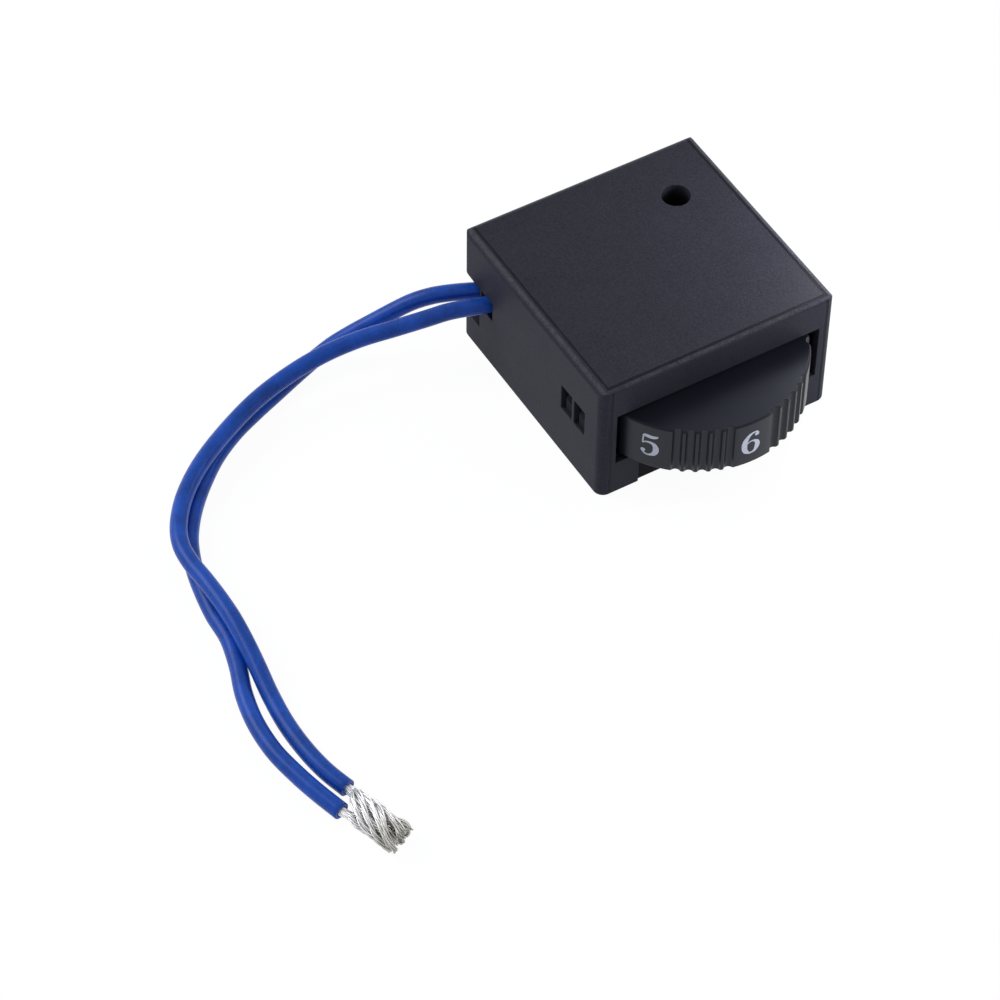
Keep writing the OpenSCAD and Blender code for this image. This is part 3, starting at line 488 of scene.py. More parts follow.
def shaded_mould_lines(f, s):
    """Fine grooves where the housing's flat faces meet its rounded edges, darkened with painted shade: 1 on a
    line, 0 away from it.

    On the top they lie one edge radius inside its sides and front, and on the front one corner radius inside
    its sides. With d the larger of (|x| - the side line) and (the front line - y), a line is where |d| is
    small, stepped over its width, so the two meet in a clean corner. Noise makes the width uneven.
    """
    low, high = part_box("housing")
    x, y, _ = f.parts(f.place())
    _, ahead, up = f.parts(f.facing())
    beside = abs(x) - (high.x - s.side_round)
    before = low.y + s.front_round - y
    wavy = (f.noise(s.crease * 3, 2.0, 0.5) - 0.5) * (s.crease * 0.5)
    top = (1 - (abs(beside.most(before)) + wavy).step(s.crease * 0.3, s.crease * 0.65)) * up.step(0.7, 0.8)
    upright = abs(abs(x) - (high.x - s.upright_round))
    front = (1 - (upright + wavy).step(s.crease * 0.3, s.crease * 0.65)) * (0 - ahead).step(0.7, 0.8)
    return top.most(front * 0.6)


def rubbed_and_highlit_edges(f, s):
    """Where the top's rounded edges are rubbed and carry a painted highlight: 1 where the surface leans out by
    20 to 55 degrees, broken up.

    The lean is read from the normal's upward part, and two noises, of one and of four grains, break the band
    into flecks.
    """
    up = f.parts(f.facing())[2]
    lean = up.step(0.45, 0.75) * (1 - up.step(0.90, 0.97))
    fleck = f.noise(s.grain * 0.9, 2.0, 0.6) * 0.65 + f.noise(s.grain * 4, 2.0, 0.5) * 0.35
    return lean * (fleck.step(0.36, 0.62) * 0.8 + 0.2)


def moulded(
    name, tone, rough, grain, depth, top=None, fade=0.12, specular=0.10,
    speckle=0.1, coat=0.0, lines=None, rubbed_and_highlight=None,
):
    """Moulded plastic: a fine mould texture, cloudy tone and rubbed, slightly paler high spots.

    Height is a third coarse noise and two thirds fine cells. Where top is given, surfaces facing straight up
    take that roughness and the full texture, and the others a third of it. Lines is a function that gives
    the places of fine grooves, which carry painted shade as a darker colour. The rubbed highlight is a paler
    colour, partly rubbed wear and partly a painted highlight, and a function that gives where it shows. Coat is
    how much polish the upright surfaces have.
    """
    f = Finish(name, Specular_IOR_Level=specular, Specular_Tint=(0.84, 0.90, 1.0), Coat_Roughness=0.3)
    fine = f.cells(grain)
    grit = f.noise(grain * 0.8, 3.0, 0.6)
    cloud = f.noise(0.006, 3.0, 0.55)
    smear = f.noise(0.0016, 2.0, 0.5, stretch=(1.0, 1.0, 0.35))
    height = fine * 0.55 + grit * 0.45
    lift = (cloud - 0.5) * fade + (grit - 0.5) * speckle + (smear - 0.5) * 0.06
    pale = tuple(min(1.0, c * 1.9 + 0.003) for c in tone)
    dark = tuple(c * 0.55 for c in tone)
    base = f.blend((lift + 0.42).step(0.05, 0.85), dark, pale)
    uneven = (cloud - 0.5) * 0.10 + (grit - 0.5) * 0.08
    if coat:
        f.finish(Coat_Weight=(1 - abs(f.parts(f.facing())[2]).step(0.2, 0.6)) * coat)
    if top is None:
        f.relief(height, depth)
        return f.finish(Base_Color=base, Roughness=uneven + rough)
    up = f.parts(f.facing())[2].step(0.45, 0.75)
    height = height * (up * 0.66 + 0.34)
    # Partly rubbed wear, partly a painted highlight: the leaning edges take a paler colour
    if rubbed_and_highlight:
        base = f.blend(rubbed_and_highlight[1](f), base, rubbed_and_highlight[0])
    # Painted shade: besides their relief, the grooves take a much darker colour
    if lines:
        groove_and_shade = lines(f)
        base = f.blend(groove_and_shade * 0.8, base, tuple(c * 0.15 for c in tone))
        height = height - groove_and_shade * 3.0
    f.relief(height, depth)
    return f.finish(Base_Color=base, Roughness=uneven + (up * (top - rough) + rough))


def jacket_material(tone):
    """Lead insulation: soft extruded plastic with faint lines along it, dull marks and a thin gloss."""
    f = Finish("lead insulation", Specular_IOR_Level=0.16, Coat_Roughness=0.28, Coat_IOR=1.3)
    run = f.parts(f.node("ShaderNodeUVMap", {"uv_map": "along"}))
    along = f.node("ShaderNodeCombineXYZ", None, {0: run[0] * 40.0, 1: run[1] * 0.9, 2: 0.0})
    lines = f.node("ShaderNodeTexNoise", None, {"Vector": along, "Scale": 1.0, "Detail": 3.0, "Roughness": 0.6})
    cloud = f.noise(0.004, 3.0, 0.6)
    speck = f.noise(0.0005, 2.0, 0.5)
    deep = tuple(c * 0.62 for c in tone)
    bright = tuple(min(1.0, c * 1.28 + 0.002) for c in tone)
    base = f.blend((cloud * 0.6 + speck * 0.15 + lines * 0.25).step(0.25, 0.75), deep, bright)
    f.relief(lines * 0.5 + speck * 0.5, 0.000012)
    return f.finish(
        Base_Color=base,
        Roughness=(cloud - 0.5) * 0.16 + (speck - 0.5) * 0.08 + 0.36,
        Coat_Weight=(cloud - 0.5) * 0.2 + 0.25,
    )


def metal(name, tone, rough, grain=0.0002, depth=0.000004, dull=0.55, stretch=None):
    """Tinned or plated metal: bright, with a little scale, finer scratches and dull patches."""
    f = Finish(name, Metallic=1.0)
    patch = f.noise(grain * 6, 3.0, 0.6)
    fine = f.noise(grain, 3.0, 0.6, stretch=stretch)
    base = f.blend((patch * 0.7 + fine * 0.3).step(0.3, 0.7), tuple(c * dull for c in tone), tone)
    f.relief(fine, depth)
    return f.finish(Base_Color=base, Roughness=(patch - 0.5) * 0.25 + (fine - 0.5) * 0.12 + rough)


def lacquer(name, tone, rough, wave=0.0015, depth=0.00002, coat=0.4, fade=0.25, specular=0.5):
    """Dipped or moulded resin with a smooth wavy coat."""
    f = Finish(name, Specular_IOR_Level=specular, Coat_Roughness=0.12)
    swell = f.noise(wave, 2.0, 0.4)
    dust = f.noise(0.0003, 3.0, 0.6)
    base = f.blend(
        (swell * 0.6 + dust * 0.4).step(0.3, 0.7),
        tuple(c * (1 - fade) for c in tone),
        tuple(min(1.0, c * (1 + fade)) for c in tone),
    )
    f.relief(swell * 0.8 + dust * 0.2, depth)
    uneven = (dust - 0.5) * 0.15
    return f.finish(Base_Color=base, Roughness=uneven + rough, Coat_Weight=(swell - 0.5) * 0.3 + coat)


def banded(name, tone, bands, axis, centre, span):
    """A resistor's coating with its code rings. bands are (place from -0.5 to 0.5 of span, width, colour)."""
    f = Finish(name, Specular_IOR_Level=0.5, Coat_Roughness=0.15)
    dust = f.noise(0.0003, 3.0, 0.6)
    where = (f.parts(f.place())[axis] - centre) / span
    base = f.blend(dust.step(0.3, 0.7), tuple(c * 0.85 for c in tone), tone)
    for place, width, ring in bands:
        mask = 1 - abs(where - place).step(width * 0.42, width * 0.58)
        base = f.blend(mask, base, ring)
    f.relief(dust, 0.000008)
    return f.finish(Base_Color=base, Roughness=(dust - 0.5) * 0.1 + 0.3, Coat_Weight=0.5)


# ---------------------------------------------------------------- leads

WIRE_A = [
    (-10.3, 12.5, 4.6), (-10.3, 12.5, 5.6), (-10.7, 12.5, 7), (-11.9, 12.5, 8.2), (-13.6, 12.6, 8.7),
    (-15, 12.8, 8.9), (-16.6, 13.4, 9.05), (-18.5, 14.2, 9.05), (-20.5, 15.2, 8.7), (-22.5, 16.2, 7.9),
    (-24.5, 17, 6.8), (-27, 17.9, 5.3), (-29.5, 18.7, 3.9), (-32, 19.1, 2.8), (-34.5, 18.9, 2),
    (-37.5, 18.2, 1.4), (-41, 17, 1.1), (-45, 15.4, 1.1), (-48.5, 13.8, 1.1), (-52, 11.6, 1.1),
    (-55, 9, 1.1), (-57.5, 6.4, 1.1), (-59.5, 3.8, 1.1), (-61, 1.2, 1.1), (-62.2, -2, 1.1),
    (-63, -5.4, 1.1), (-63.6, -9.4, 1.1), (-63.8, -13.4, 1.1), (-64.75, -17.4, 1.1), (-66.1, -21.4, 1.1),
    (-66.9, -25.6, 1.1), (-67, -30, 1.1), (-66.4, -34, 1.1), (-65.6, -37.5, 1.1), (-64.6, -41, 1.1),
]
WIRE_B = [
    (-10, 9, 4.6), (-10, 9, 5.6), (-10.4, 9.2, 7), (-11.5, 9.6, 8.3), (-13, 10, 9.05), (-14.6, 10.1, 9.3),
    (-16.4, 10.2, 9.35), (-18.4, 10.9, 9.3), (-20.6, 11.7, 9.05), (-23, 12.5, 8.45), (-26.6, 13.8, 7.5),
    (-30.6, 15.2, 6.5), (-35, 16, 5.5), (-39.8, 15.9, 4.6), (-45, 14.8, 3.9), (-50.4, 12.5, 3.4),
    (-55, 9.7, 3.3), (-58.8, 6.4, 3.3), (-61.4, 3, 3.3), (-62.7, 0, 3.3), (-63, -3, 3.3),
    (-62.8, -6.2, 3.3), (-62.7, -9.4, 3.3), (-62.7, -12.6, 3.1), (-62.9, -16, 2.6), (-63.25, -19.5, 2),
    (-63.7, -23.2, 1.4), (-64, -27.4, 1.1), (-63.9, -31.6, 1.1), (-63.4, -35.3, 1.1), (-62.5, -38.6, 1.1),
]
# Middle line of the loose rope that the two bare ends lie in
BUNDLE = [
    (-63.67, -38.94, 1.15), (-62.95, -41.4, 1.3), (-62.25, -43.8, 1.45), (-61.55, -46.2, 1.5),
    (-60.85, -48.6, 1.4),
]
# Route, half turns at its start, exit point and length of each lead
LEADS = {
    "a": (WIRE_A, 1.0, (-16.0, 13.2, 9.0), 0.105),
    "b": (WIRE_B, 0.0, (-16.0, 10.2, 9.35), 0.102),
}
# A direction that no lead ever runs along, and the sides of a lead and of a strand
ASIDE = (0.35, 0.35, 0.87)
LEAD_SIDES, STRAND_SIDES = 28, 7
# Bunches in one lead, strands in a bunch, and rings along a strand
BUNCHES, MEMBERS, STRAND_RINGS = 7, 7, 56
# Places of the bunches round the rope, in degrees, and how far out they lie: five outer and two inner ones
BUNCH_PLACES = [-72, -36, 0, 36, 72, -35, 35]
BUNCH_REACH = [1.62 * MM] * 5 + [0.7 * MM] * 2
# Height of the rope's cross section as a share of its width, its turn, and the run over which it forms
ROPE_FLATNESS = 0.72
ROPE_TURN = 1.1 * math.pi
ROPE_FORMS = 2.4 * MM
# Length in which a bunch's strands turn once
LAY_LENGTH = 7 * MM


def make_lead(name, route, across, core, material):
    """One insulated lead: a circle of the lead's radius carried along its route.

    The cut end turns in over four rings to the core's bore and runs back inside it, so the bare strands come
    out of a hole. UV "along" holds the turn round the lead, 0 to 1, and the distance run in lead widths.
    """
    line, run = spline(np.asarray(route) * MM, 0.0005)
    tangent = frames(line, ASIDE)[0][-1]
    steps = np.array([0.03, 0.06, 0.065, 0.04, -0.9]) * MM
    widths = np.array([0.985, 0.93, 0.80, core / across + 0.04, core / across]) * across / 2
    rings = tube_grid(line, np.full(len(line), across / 2), LEAD_SIDES, ASIDE)
    start = line[0] + (rings[0] - line[0]) * 0.9 - frames(line, ASIDE)[0][0] * 0.04 * MM
    last = rings[-1] - line[-1]
    ends = [line[-1] + tangent * s + last * (w / (across / 2)) for s, w in zip(steps, widths)]
    grid = np.concatenate([start[None], rings, np.array(ends)])
    piece = add_piece(name, grid, grid_faces(len(grid), LEAD_SIDES), "box")
    travelled = np.concatenate([[0], run, run[-1] + np.maximum(steps, 0)]) / across
    ring_of, side_of = np.divmod(np.arange(len(grid) * LEAD_SIDES), LEAD_SIDES)
    loops = np.zeros(len(piece.data.loops), int)
    piece.data.loops.foreach_get("vertex_index", loops)
    around = side_of[loops] / LEAD_SIDES
    counts = np.zeros(len(piece.data.polygons), int)
    piece.data.polygons.foreach_get("loop_total", counts)
    face_of = np.repeat(np.arange(len(counts)), counts)
    seam = np.zeros(len(counts), bool)
    np.logical_or.at(seam, face_of[side_of[loops] == LEAD_SIDES - 1], True)
    around = np.where(seam[face_of] & (side_of[loops] == 0), 1.0, around)
    layer = piece.data.uv_layers.new(name="along")
    layer.data.foreach_set("uv", np.stack([around, travelled[ring_of[loops]]], 1).ravel())
    return shade(piece, material), line


def make_strands(name, lead_end, half_turns, diameter, core, material, seed):
    """One lead's bare strands: seven bunches of seven, which leave the core and join a loose rope of both.

    The rope follows BUNDLE. A bunch lies there at R (cos q, flatness sin q), R from BUNCH_REACH and q = its
    place + half_turns pi + ROPE_TURN u^1.2, u being the share of the rope run. It comes from its place in
    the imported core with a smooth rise, 3 t^2 - 2 t^3, over the run ROPE_FORMS. Its strands lie at r (cos a,
    sin a) round it, one in the middle, and turn once in LAY_LENGTH. Radii and angles have slow waves of a
    seeded size, and the strands end at slightly different lengths, one bunch of the front lead's longer.
    """
    rng = np.random.default_rng(seed)
    middle, run = spline(np.asarray(BUNDLE) * MM, 0.0002)
    tangent, across, above = frames(middle, (0.0, 0.0, 1.0))
    begins = float((lead_end - middle[0]) @ tangent[0])
    keep = run >= begins
    rope_share = (run / run[-1])[keep]
    middle, tangent, across, above = middle[keep], tangent[keep], across[keep], above[keep]
    run = run[keep] - begins
    rise = np.clip(run / ROPE_FORMS, 0, 1)
    rise = (rise * rise * (3 - 2 * rise))[None, :]

    def wave(size, rows):
        """Slow waves along the strands, one row for each, of a seeded size up to the one given."""
        phase = rng.uniform(0, 6.3, (rows, 1))
        pace = rng.uniform(3, 8, (rows, 1))
        return rng.uniform(0.3, 1, (rows, 1)) * size * np.sin(rope_share * pace + phase) * rise

    places = np.radians(BUNCH_PLACES)[:, None]
    reach = np.array(BUNCH_REACH)[:, None] + wave(0.16 * MM, BUNCHES)
    angle = places + math.pi * half_turns + ROPE_TURN * rope_share**1.2 + wave(0.22, BUNCHES)
    # across points to the right of the rope's run, so the bunches are counted from the other side
    wide, high = -reach * np.cos(angle), ROPE_FLATNESS * reach * np.sin(angle)
    packed = core / 2 - diameter * 1.5
    seat = np.arange(BUNCHES)[:, None] * math.pi / 3
    inner = np.where(np.arange(BUNCHES) == 0, 0.0, packed)[:, None]
    straight = lead_end + run[:, None] * tangent
    core_wide = ((straight - middle) * across).sum(1) + inner * np.cos(seat)
    core_high = ((straight - middle) * above).sum(1) + inner * np.sin(seat)
    wide = core_wide * (1 - rise) + wide * rise
    high = core_high * (1 - rise) + high * rise
    strands = BUNCHES * MEMBERS
    bunch, member = np.divmod(np.arange(strands), MEMBERS)
    spread = np.where(np.arange(MEMBERS) == 0, 0.0, diameter)[member][:, None]
    near = spread * (0.85 + 0.5 * rise) + wave(0.06 * MM, strands)
    turn = (member * math.pi / 3)[:, None] + 2 * math.pi * run[None, :] / LAY_LENGTH + wave(0.6, strands)
    wide = wide[bunch] + near * np.cos(turn)
    high = high[bunch] + near * np.sin(turn)
    lines = middle[None] + wide[..., None] * across[None] + high[..., None] * above[None]
    lines = np.concatenate([lines[:, :1] - np.linspace(0.8, 0.2, 4)[:, None] * MM * tangent[0], lines], 1)
    total = lines.shape[1] - 1
    stop = total * (0.94 - rng.uniform(0.0, 0.035, strands) - rng.uniform(0.0, 0.03, BUNCHES)[bunch])
    stop = np.where((bunch == 1) & (half_turns == 0), total, stop)
    at = np.linspace(0, 1, STRAND_RINGS)[None, :] * stop[:, None]
    below = np.floor(at).astype(int)
    part = (at - below)[..., None]
    beyond = np.minimum(below + 1, total)
    rows = np.arange(strands)[:, None]
    lines = lines[rows, below] * (1 - part) + lines[rows, beyond] * part
    # no strand sinks into the floor
    lines[..., 2] = np.maximum(lines[..., 2], diameter * 0.55)
    grid = tube_grid(lines, np.full(lines.shape[:2], diameter / 2), STRAND_SIDES, (0.15, 0.3, 1.0))
    faces = []
    for k in range(strands):
        faces += grid_faces(STRAND_RINGS, STRAND_SIDES, start=k * STRAND_RINGS * STRAND_SIDES)
    piece = add_piece(name, grid, faces, "box")
    return shade(piece, material)


def strand_material(tone):
    """Tinned strands: bright where they leave the insulation, duller and warmer in patches towards the cut."""
    f = Finish("tinned strands", Metallic=0.7)
    _, along, _ = f.parts(f.place())
    aged = (0 - along).step(0.0415, 0.0475)
    patch = f.noise(0.0016, 3.0, 0.6)
    fine = f.noise(0.0003, 2.0, 0.6)
    dulled = (aged * 0.66 + (patch - 0.5) * 1.1).step(0.15, 0.8)
    base = f.blend(dulled * 0.9, tone, tuple(c * k for c, k in zip(tone, (0.50, 0.49, 0.44))))
    base = f.blend((fine - 0.5).step(0.0, 0.25) * 0.25, base, tuple(c * 0.6 for c in tone))
    f.relief(fine, 0.000004)
    return f.finish(Base_Color=base, Roughness=dulled * 0.15 + (fine - 0.5) * 0.1 + 0.38)


class SWITCH_OT_leads(bpy.types.Operator):
    """Makes the two blue leads and their bare twisted ends"""

    bl_idname = "speed_switch.leads"
    bl_label = "Leads"

    def execute(self, context):
        s = context.scene.switch_leads
        blue = jacket_material(s.jacket[:])
        tinned = strand_material(s.tin[:])
        for seed, (key, (route, half_turns, exit_point, long)) in enumerate(LEADS.items()):
            lead, line = make_lead("lead_" + key, route, s.across, s.core, blue)
            ends = make_strands("bare_end_" + key, line[-1], half_turns, s.strand, s.core, tinned, seed + 3)
            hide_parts("wire_" + key)
            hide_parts("strands_" + key)
            [v * MM for v in exit_point]
        return {"FINISHED"}


# ---------------------------------------------------------------- box


# The base plate's edge break and grain depth as shares of the housing's
PLATE_EDGE, PLATE_DEPTH = 0.55, 0.6


class SWITCH_OT_box(bpy.types.Operator):
    """Finishes the housing and the base plate with broken edges and moulded plastic"""

    bl_idname = "speed_switch.box"
    bl_label = "Housing and base"

    def execute(self, context):
        s = context.scene.switch_box
        # The housing's grooves carry painted shade, and its rounded edges a painted highlight as well as wear
        shell = moulded(
            "housing plastic", s.shell[:], s.satin, s.grain, s.depth, top=s.matte, speckle=0.62,
            lines=lambda f: shaded_mould_lines(f, s), rubbed_and_highlight=(s.rubbed_and_highlight[:], lambda f: rubbed_and_highlit_edges(f, s)),
        )
        plate = moulded("base plastic", s.base[:], 0.6, s.grain, s.depth * PLATE_DEPTH, specular=0.04)
        shade(merged_copy("housing", "housing_shell", "box", s.edge), shell)
        shade(merged_copy("base_cover", "base_plate", "box", s.edge * PLATE_EDGE), plate)
        return {"FINISHED"}


# ---------------------------------------------------------------- wheel

# Numerals as strokes in a cell one high: (across, up, width) of the points that a stroke runs through. A
# stroke of one point is a round dot.
NUMERALS = {
    "1": [
        [(0.34, 0.04, 0.20), (0.34, 0.35, 0.185), (0.34, 0.70, 0.185), (0.34, 0.975, 0.20)],
        [(0.31, 0.965, 0.05), (0.24, 0.87, 0.06), (0.14, 0.81, 0.05)],
        [(0.12, 0.03, 0.055), (0.34, 0.035, 0.07), (0.56, 0.03, 0.055)],
    ],
    "2": [
        [(0.15, 0.77, 0.17)],
        [(0.09, 0.80, 0.05), (0.15, 0.92, 0.06), (0.30, 0.97, 0.07), (0.46, 0.92, 0.14),
         (0.54, 0.74, 0.19), (0.46, 0.52, 0.16), (0.28, 0.32, 0.10), (0.13, 0.14, 0.07), (0.08, 0.06, 0.06)],
        [(0.09, 0.08, 0.09), (0.25, 0.11, 0.16), (0.42, 0.07, 0.15), (0.55, 0.08, 0.08), (0.61, 0.21, 0.04)],
    ],
    "3": [
        [(0.145, 0.80, 0.16)],
        [(0.085, 0.83, 0.05), (0.17, 0.945, 0.06), (0.31, 0.97, 0.07), (0.45, 0.91, 0.14),
         (0.49, 0.76, 0.17), (0.42, 0.61, 0.10), (0.26, 0.54, 0.05)],
        [(0.26, 0.545, 0.05), (0.45, 0.50, 0.11), (0.56, 0.31, 0.19), (0.51, 0.12, 0.16),
         (0.33, 0.035, 0.08), (0.17, 0.06, 0.06), (0.08, 0.17, 0.05)],
        [(0.13, 0.20, 0.16)],
    ],
    "4": [
        [(0.44, 0.04, 0.18), (0.44, 0.5, 0.17), (0.45, 0.96, 0.15)],
        [(0.46, 0.96, 0.05), (0.25, 0.64, 0.05), (0.05, 0.31, 0.05)],
        [(0.04, 0.30, 0.07), (0.3, 0.30, 0.075), (0.63, 0.30, 0.07)],
        [(0.27, 0.03, 0.055), (0.44, 0.035, 0.07), (0.61, 0.03, 0.055)],
    ],
    "5": [
        [(0.12, 0.90, 0.11), (0.24, 0.905, 0.14), (0.40, 0.885, 0.14), (0.55, 0.915, 0.10),
         (0.62, 0.975, 0.035)],
        [(0.125, 0.93, 0.055), (0.115, 0.72, 0.05), (0.10, 0.52, 0.045)],
        [(0.10, 0.525, 0.04), (0.19, 0.60, 0.06), (0.34, 0.625, 0.085), (0.50, 0.55, 0.155),
         (0.565, 0.36, 0.20), (0.51, 0.15, 0.17), (0.35, 0.04, 0.08), (0.19, 0.05, 0.06), (0.09, 0.15, 0.05)],
        [(0.125, 0.195, 0.165)],
    ],
    "6": [
        [(0.535, 0.845, 0.165)],
        [(0.60, 0.865, 0.05), (0.53, 0.95, 0.055), (0.40, 0.96, 0.07), (0.24, 0.86, 0.13), (0.12, 0.64, 0.19),
         (0.095, 0.40, 0.20), (0.14, 0.18, 0.17), (0.27, 0.045, 0.09), (0.37, 0.035, 0.075),
         (0.50, 0.10, 0.13), (0.575, 0.28, 0.19), (0.55, 0.46, 0.15), (0.44, 0.565, 0.08),
         (0.32, 0.58, 0.05), (0.21, 0.52, 0.05), (0.15, 0.42, 0.05)],
    ],
}
# Width of that cell, how deep the ink starts under the rim, in metres, and each later stroke's extra height
CELL_WIDTH = 0.68
INK_SUNK = 0.00004
STROKE_RISE = 0.12
# Direction of the last numeral at rest and the turn from one to the next, in degrees
LAST_NUMERAL, LAND_PITCH = 268.0, 360.0 / 7
# How far the numerals' middle lies above the rim's, and what each is off its place: degrees, and metres up
NUMERAL_RISE = 0.0002
NUMERAL_OFF = {"5": (0.4, 0.00007), "6": (-0.5, -0.00012)}


def stroke_outline(points):
    """Left and right edges of a pen stroke.

    A dot's edges are the halves of a circle. Otherwise the pen runs a Catmull-Rom curve through the points,
    each edge lies half the local width to its side, and the ends are rounded over about the last half width
    by a half circle's law, sqrt(1 - x^2).
    """
    if len(points) == 1:
        turn = np.linspace(0, math.pi, 15)[:, None]
        centre, size = np.asarray(points[0][:2]), points[0][2] / 2
        left = centre + size * np.hstack([-np.cos(turn), np.sin(turn)])
        return left, centre + size * np.hstack([-np.cos(turn), -np.sin(turn)])
    fine, run = spline(points, 0.012)
    spine, width = fine[:, :2], fine[:, 2]
    along = np.gradient(spine, axis=0)
    along /= np.linalg.norm(along, axis=1, keepdims=True)
    side = np.stack([-along[:, 1], along[:, 0]], 1)
    near = np.minimum(run, run[-1] - run) / (width / 2 * 0.6)
    taper = np.sqrt(np.clip(1 - (1 - np.clip(near, 0, 1)) ** 2, 0.02, 1))
    half = (width / 2 * taper)[:, None] * side
    return spine + half, spine - half


def make_numeral(digit, centre_deg, radius, axis_y, middle, tall, proud, material):
    """A numeral laid on the rim: across becomes a turn about the axis, up stays up.

    A point (x, y) of the cell goes to angle centre + (x - half the width) tall / radius and height middle +
    (y - 0.5) tall. Every stroke is a closed strip from just under the rim to the ink's outer face.
    """
    points, faces, count = [], [], 0
    for order, stroke in enumerate(NUMERALS[digit]):
        left, right = stroke_outline(stroke)
        flat = np.stack([left, right], 1)
        turn = math.radians(centre_deg) + (flat[..., 0] - CELL_WIDTH / 2) * tall / radius
        up = np.stack([middle + (flat[..., 1] - 0.5) * tall] * 2)
        reach = np.array([-INK_SUNK, proud * (1 + STROKE_RISE * order)])[:, None, None] + radius
        ring = np.stack([reach * np.cos(turn), axis_y + reach * np.sin(turn), up], -1)
        # four corners of the strip at each step: inner left, inner right, outer right, outer left
        loop = np.stack([ring[0, :, 0], ring[0, :, 1], ring[1, :, 1], ring[1, :, 0]], 1)
        points.append(loop.reshape(-1, 3))
        faces += grid_faces(len(loop), 4, start=count)
        count += loop.shape[0] * 4
    grid = np.concatenate(points)
    piece = add_piece("numeral_" + digit, grid, faces, "wheel", smooth=False)
    work = bmesh.new()
    work.from_mesh(piece.data)
    bmesh.ops.recalc_face_normals(work, faces=work.faces)
    work.to_mesh(piece.data)
    work.free()
    return shade(piece, material)


def ink_material(tone):
    """Pad-printed ink: even, slightly chalky, thinner in small spots."""
    f = Finish("numeral ink", Specular_IOR_Level=0.4)
    thin = f.noise(0.00018, 3.0, 0.65)
    base = f.blend(thin.step(0.25, 0.6), tuple(c * 0.78 for c in tone), tone)
    f.relief(thin, 0.000006)
    return f.finish(Base_Color=base, Roughness=(thin - 0.5) * 0.2 + 0.5)


class SWITCH_OT_wheel(bpy.types.Operator):
    """Finishes the thumbwheel and prints the numerals 1 to 6 on its rim"""

    bl_idname = "speed_switch.wheel"
    bl_label = "Thumbwheel"

    def execute(self, context):
        s = context.scene.switch_wheel
        plastic = moulded(
            "thumbwheel plastic", s.plastic[:], s.sheen, 0.00012, 0.000003, fade=0.10, specular=0.14, coat=0.25
        )
        shade(merged_copy("thumbwheel", "thumbwheel_rim", "wheel", s.edge), plastic)
        low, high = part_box("thumbwheel")
        radius = (high.x - low.x) / 2
        axis_y = frame["joints"][0]["pos_m"][1]
        middle = (low.z + high.z) / 2 + NUMERAL_RISE
        ink = ink_material(s.ink[:])
        for k, digit in enumerate("123456"):
            turn, rise = NUMERAL_OFF.get(digit, (0.0, 0.0))
            centre = LAST_NUMERAL - LAND_PITCH * (5 - k) + turn
            make_numeral(digit, centre, radius, axis_y, middle + rise, s.tall, s.proud, ink)
        return {"FINISHED"}


# ---------------------------------------------------------------- circuit


class SWITCH_OT_potentiometer(bpy.types.Operator):
    """Finishes the potentiometer: rotor, wiper, cover, base, element, films and terminals"""

    bl_idname = "speed_switch.potentiometer"
    bl_label = "Potentiometer"

    def execute(self, context):
        tinned = metal("terminal metal", (0.70, 0.68, 0.62), 0.28)
        finishes = {
            "pot_rotor": lacquer("rotor plastic", (0.62, 0.60, 0.53), 0.35, coat=0.1, fade=0.08),
            "pot_wiper": metal("wiper metal", (0.80, 0.58, 0.25), 0.22, dull=0.7),
            "pot_cover": moulded("cover plastic", (0.012, 0.040, 0.028), 0.45, 0.00015, 0.000006),
            "pot_base": moulded("foot plastic", (0.012, 0.012, 0.014), 0.5, 0.00015, 0.000006),
            "pot_element": lacquer("element laminate", (0.20, 0.085, 0.030), 0.45, wave=0.0005, coat=0.1),
            "pot_track": moulded("carbon film", (0.010, 0.010, 0.010), 0.6, 0.00008, 0.000004),
            "pot_collector": metal("silver film", (0.72, 0.71, 0.69), 0.4),
            "pot_terminal_1": tinned,
            "pot_terminal_2": tinned,
            "pot_terminal_3": tinned,
        }
        for node, finish in finishes.items():
            shade(NODES[node], finish)
        return {"FINISHED"}


def board_material(laminate, mask):
    """Circuit board: bare laminate on its edges, green lacquer over both faces, with its weave showing."""
    f = Finish("circuit board", Specular_IOR_Level=0.5, Coat_Roughness=0.15)
    x, y, _ = f.parts(f.place())
    weave = (x * 6283.0 / 0.6).sine() * (y * 6283.0 / 0.6).sine()
    cloud = f.noise(0.003, 3.0, 0.6)
    flat = abs(f.parts(f.facing())[2]).step(0.7, 0.9)
    lacquered = f.blend(cloud.step(0.3, 0.7), tuple(c * 0.75 for c in mask), tuple(c * 1.25 for c in mask))
    bare = f.blend(cloud.step(0.3, 0.7), tuple(c * 0.8 for c in laminate), laminate)
    f.relief(weave * 0.2 + cloud * 0.3, 0.00001)
    return f.finish(
        Base_Color=f.blend(flat, bare, lacquered), Roughness=0.55 - flat * 0.22, Coat_Weight=flat * 0.5
    )


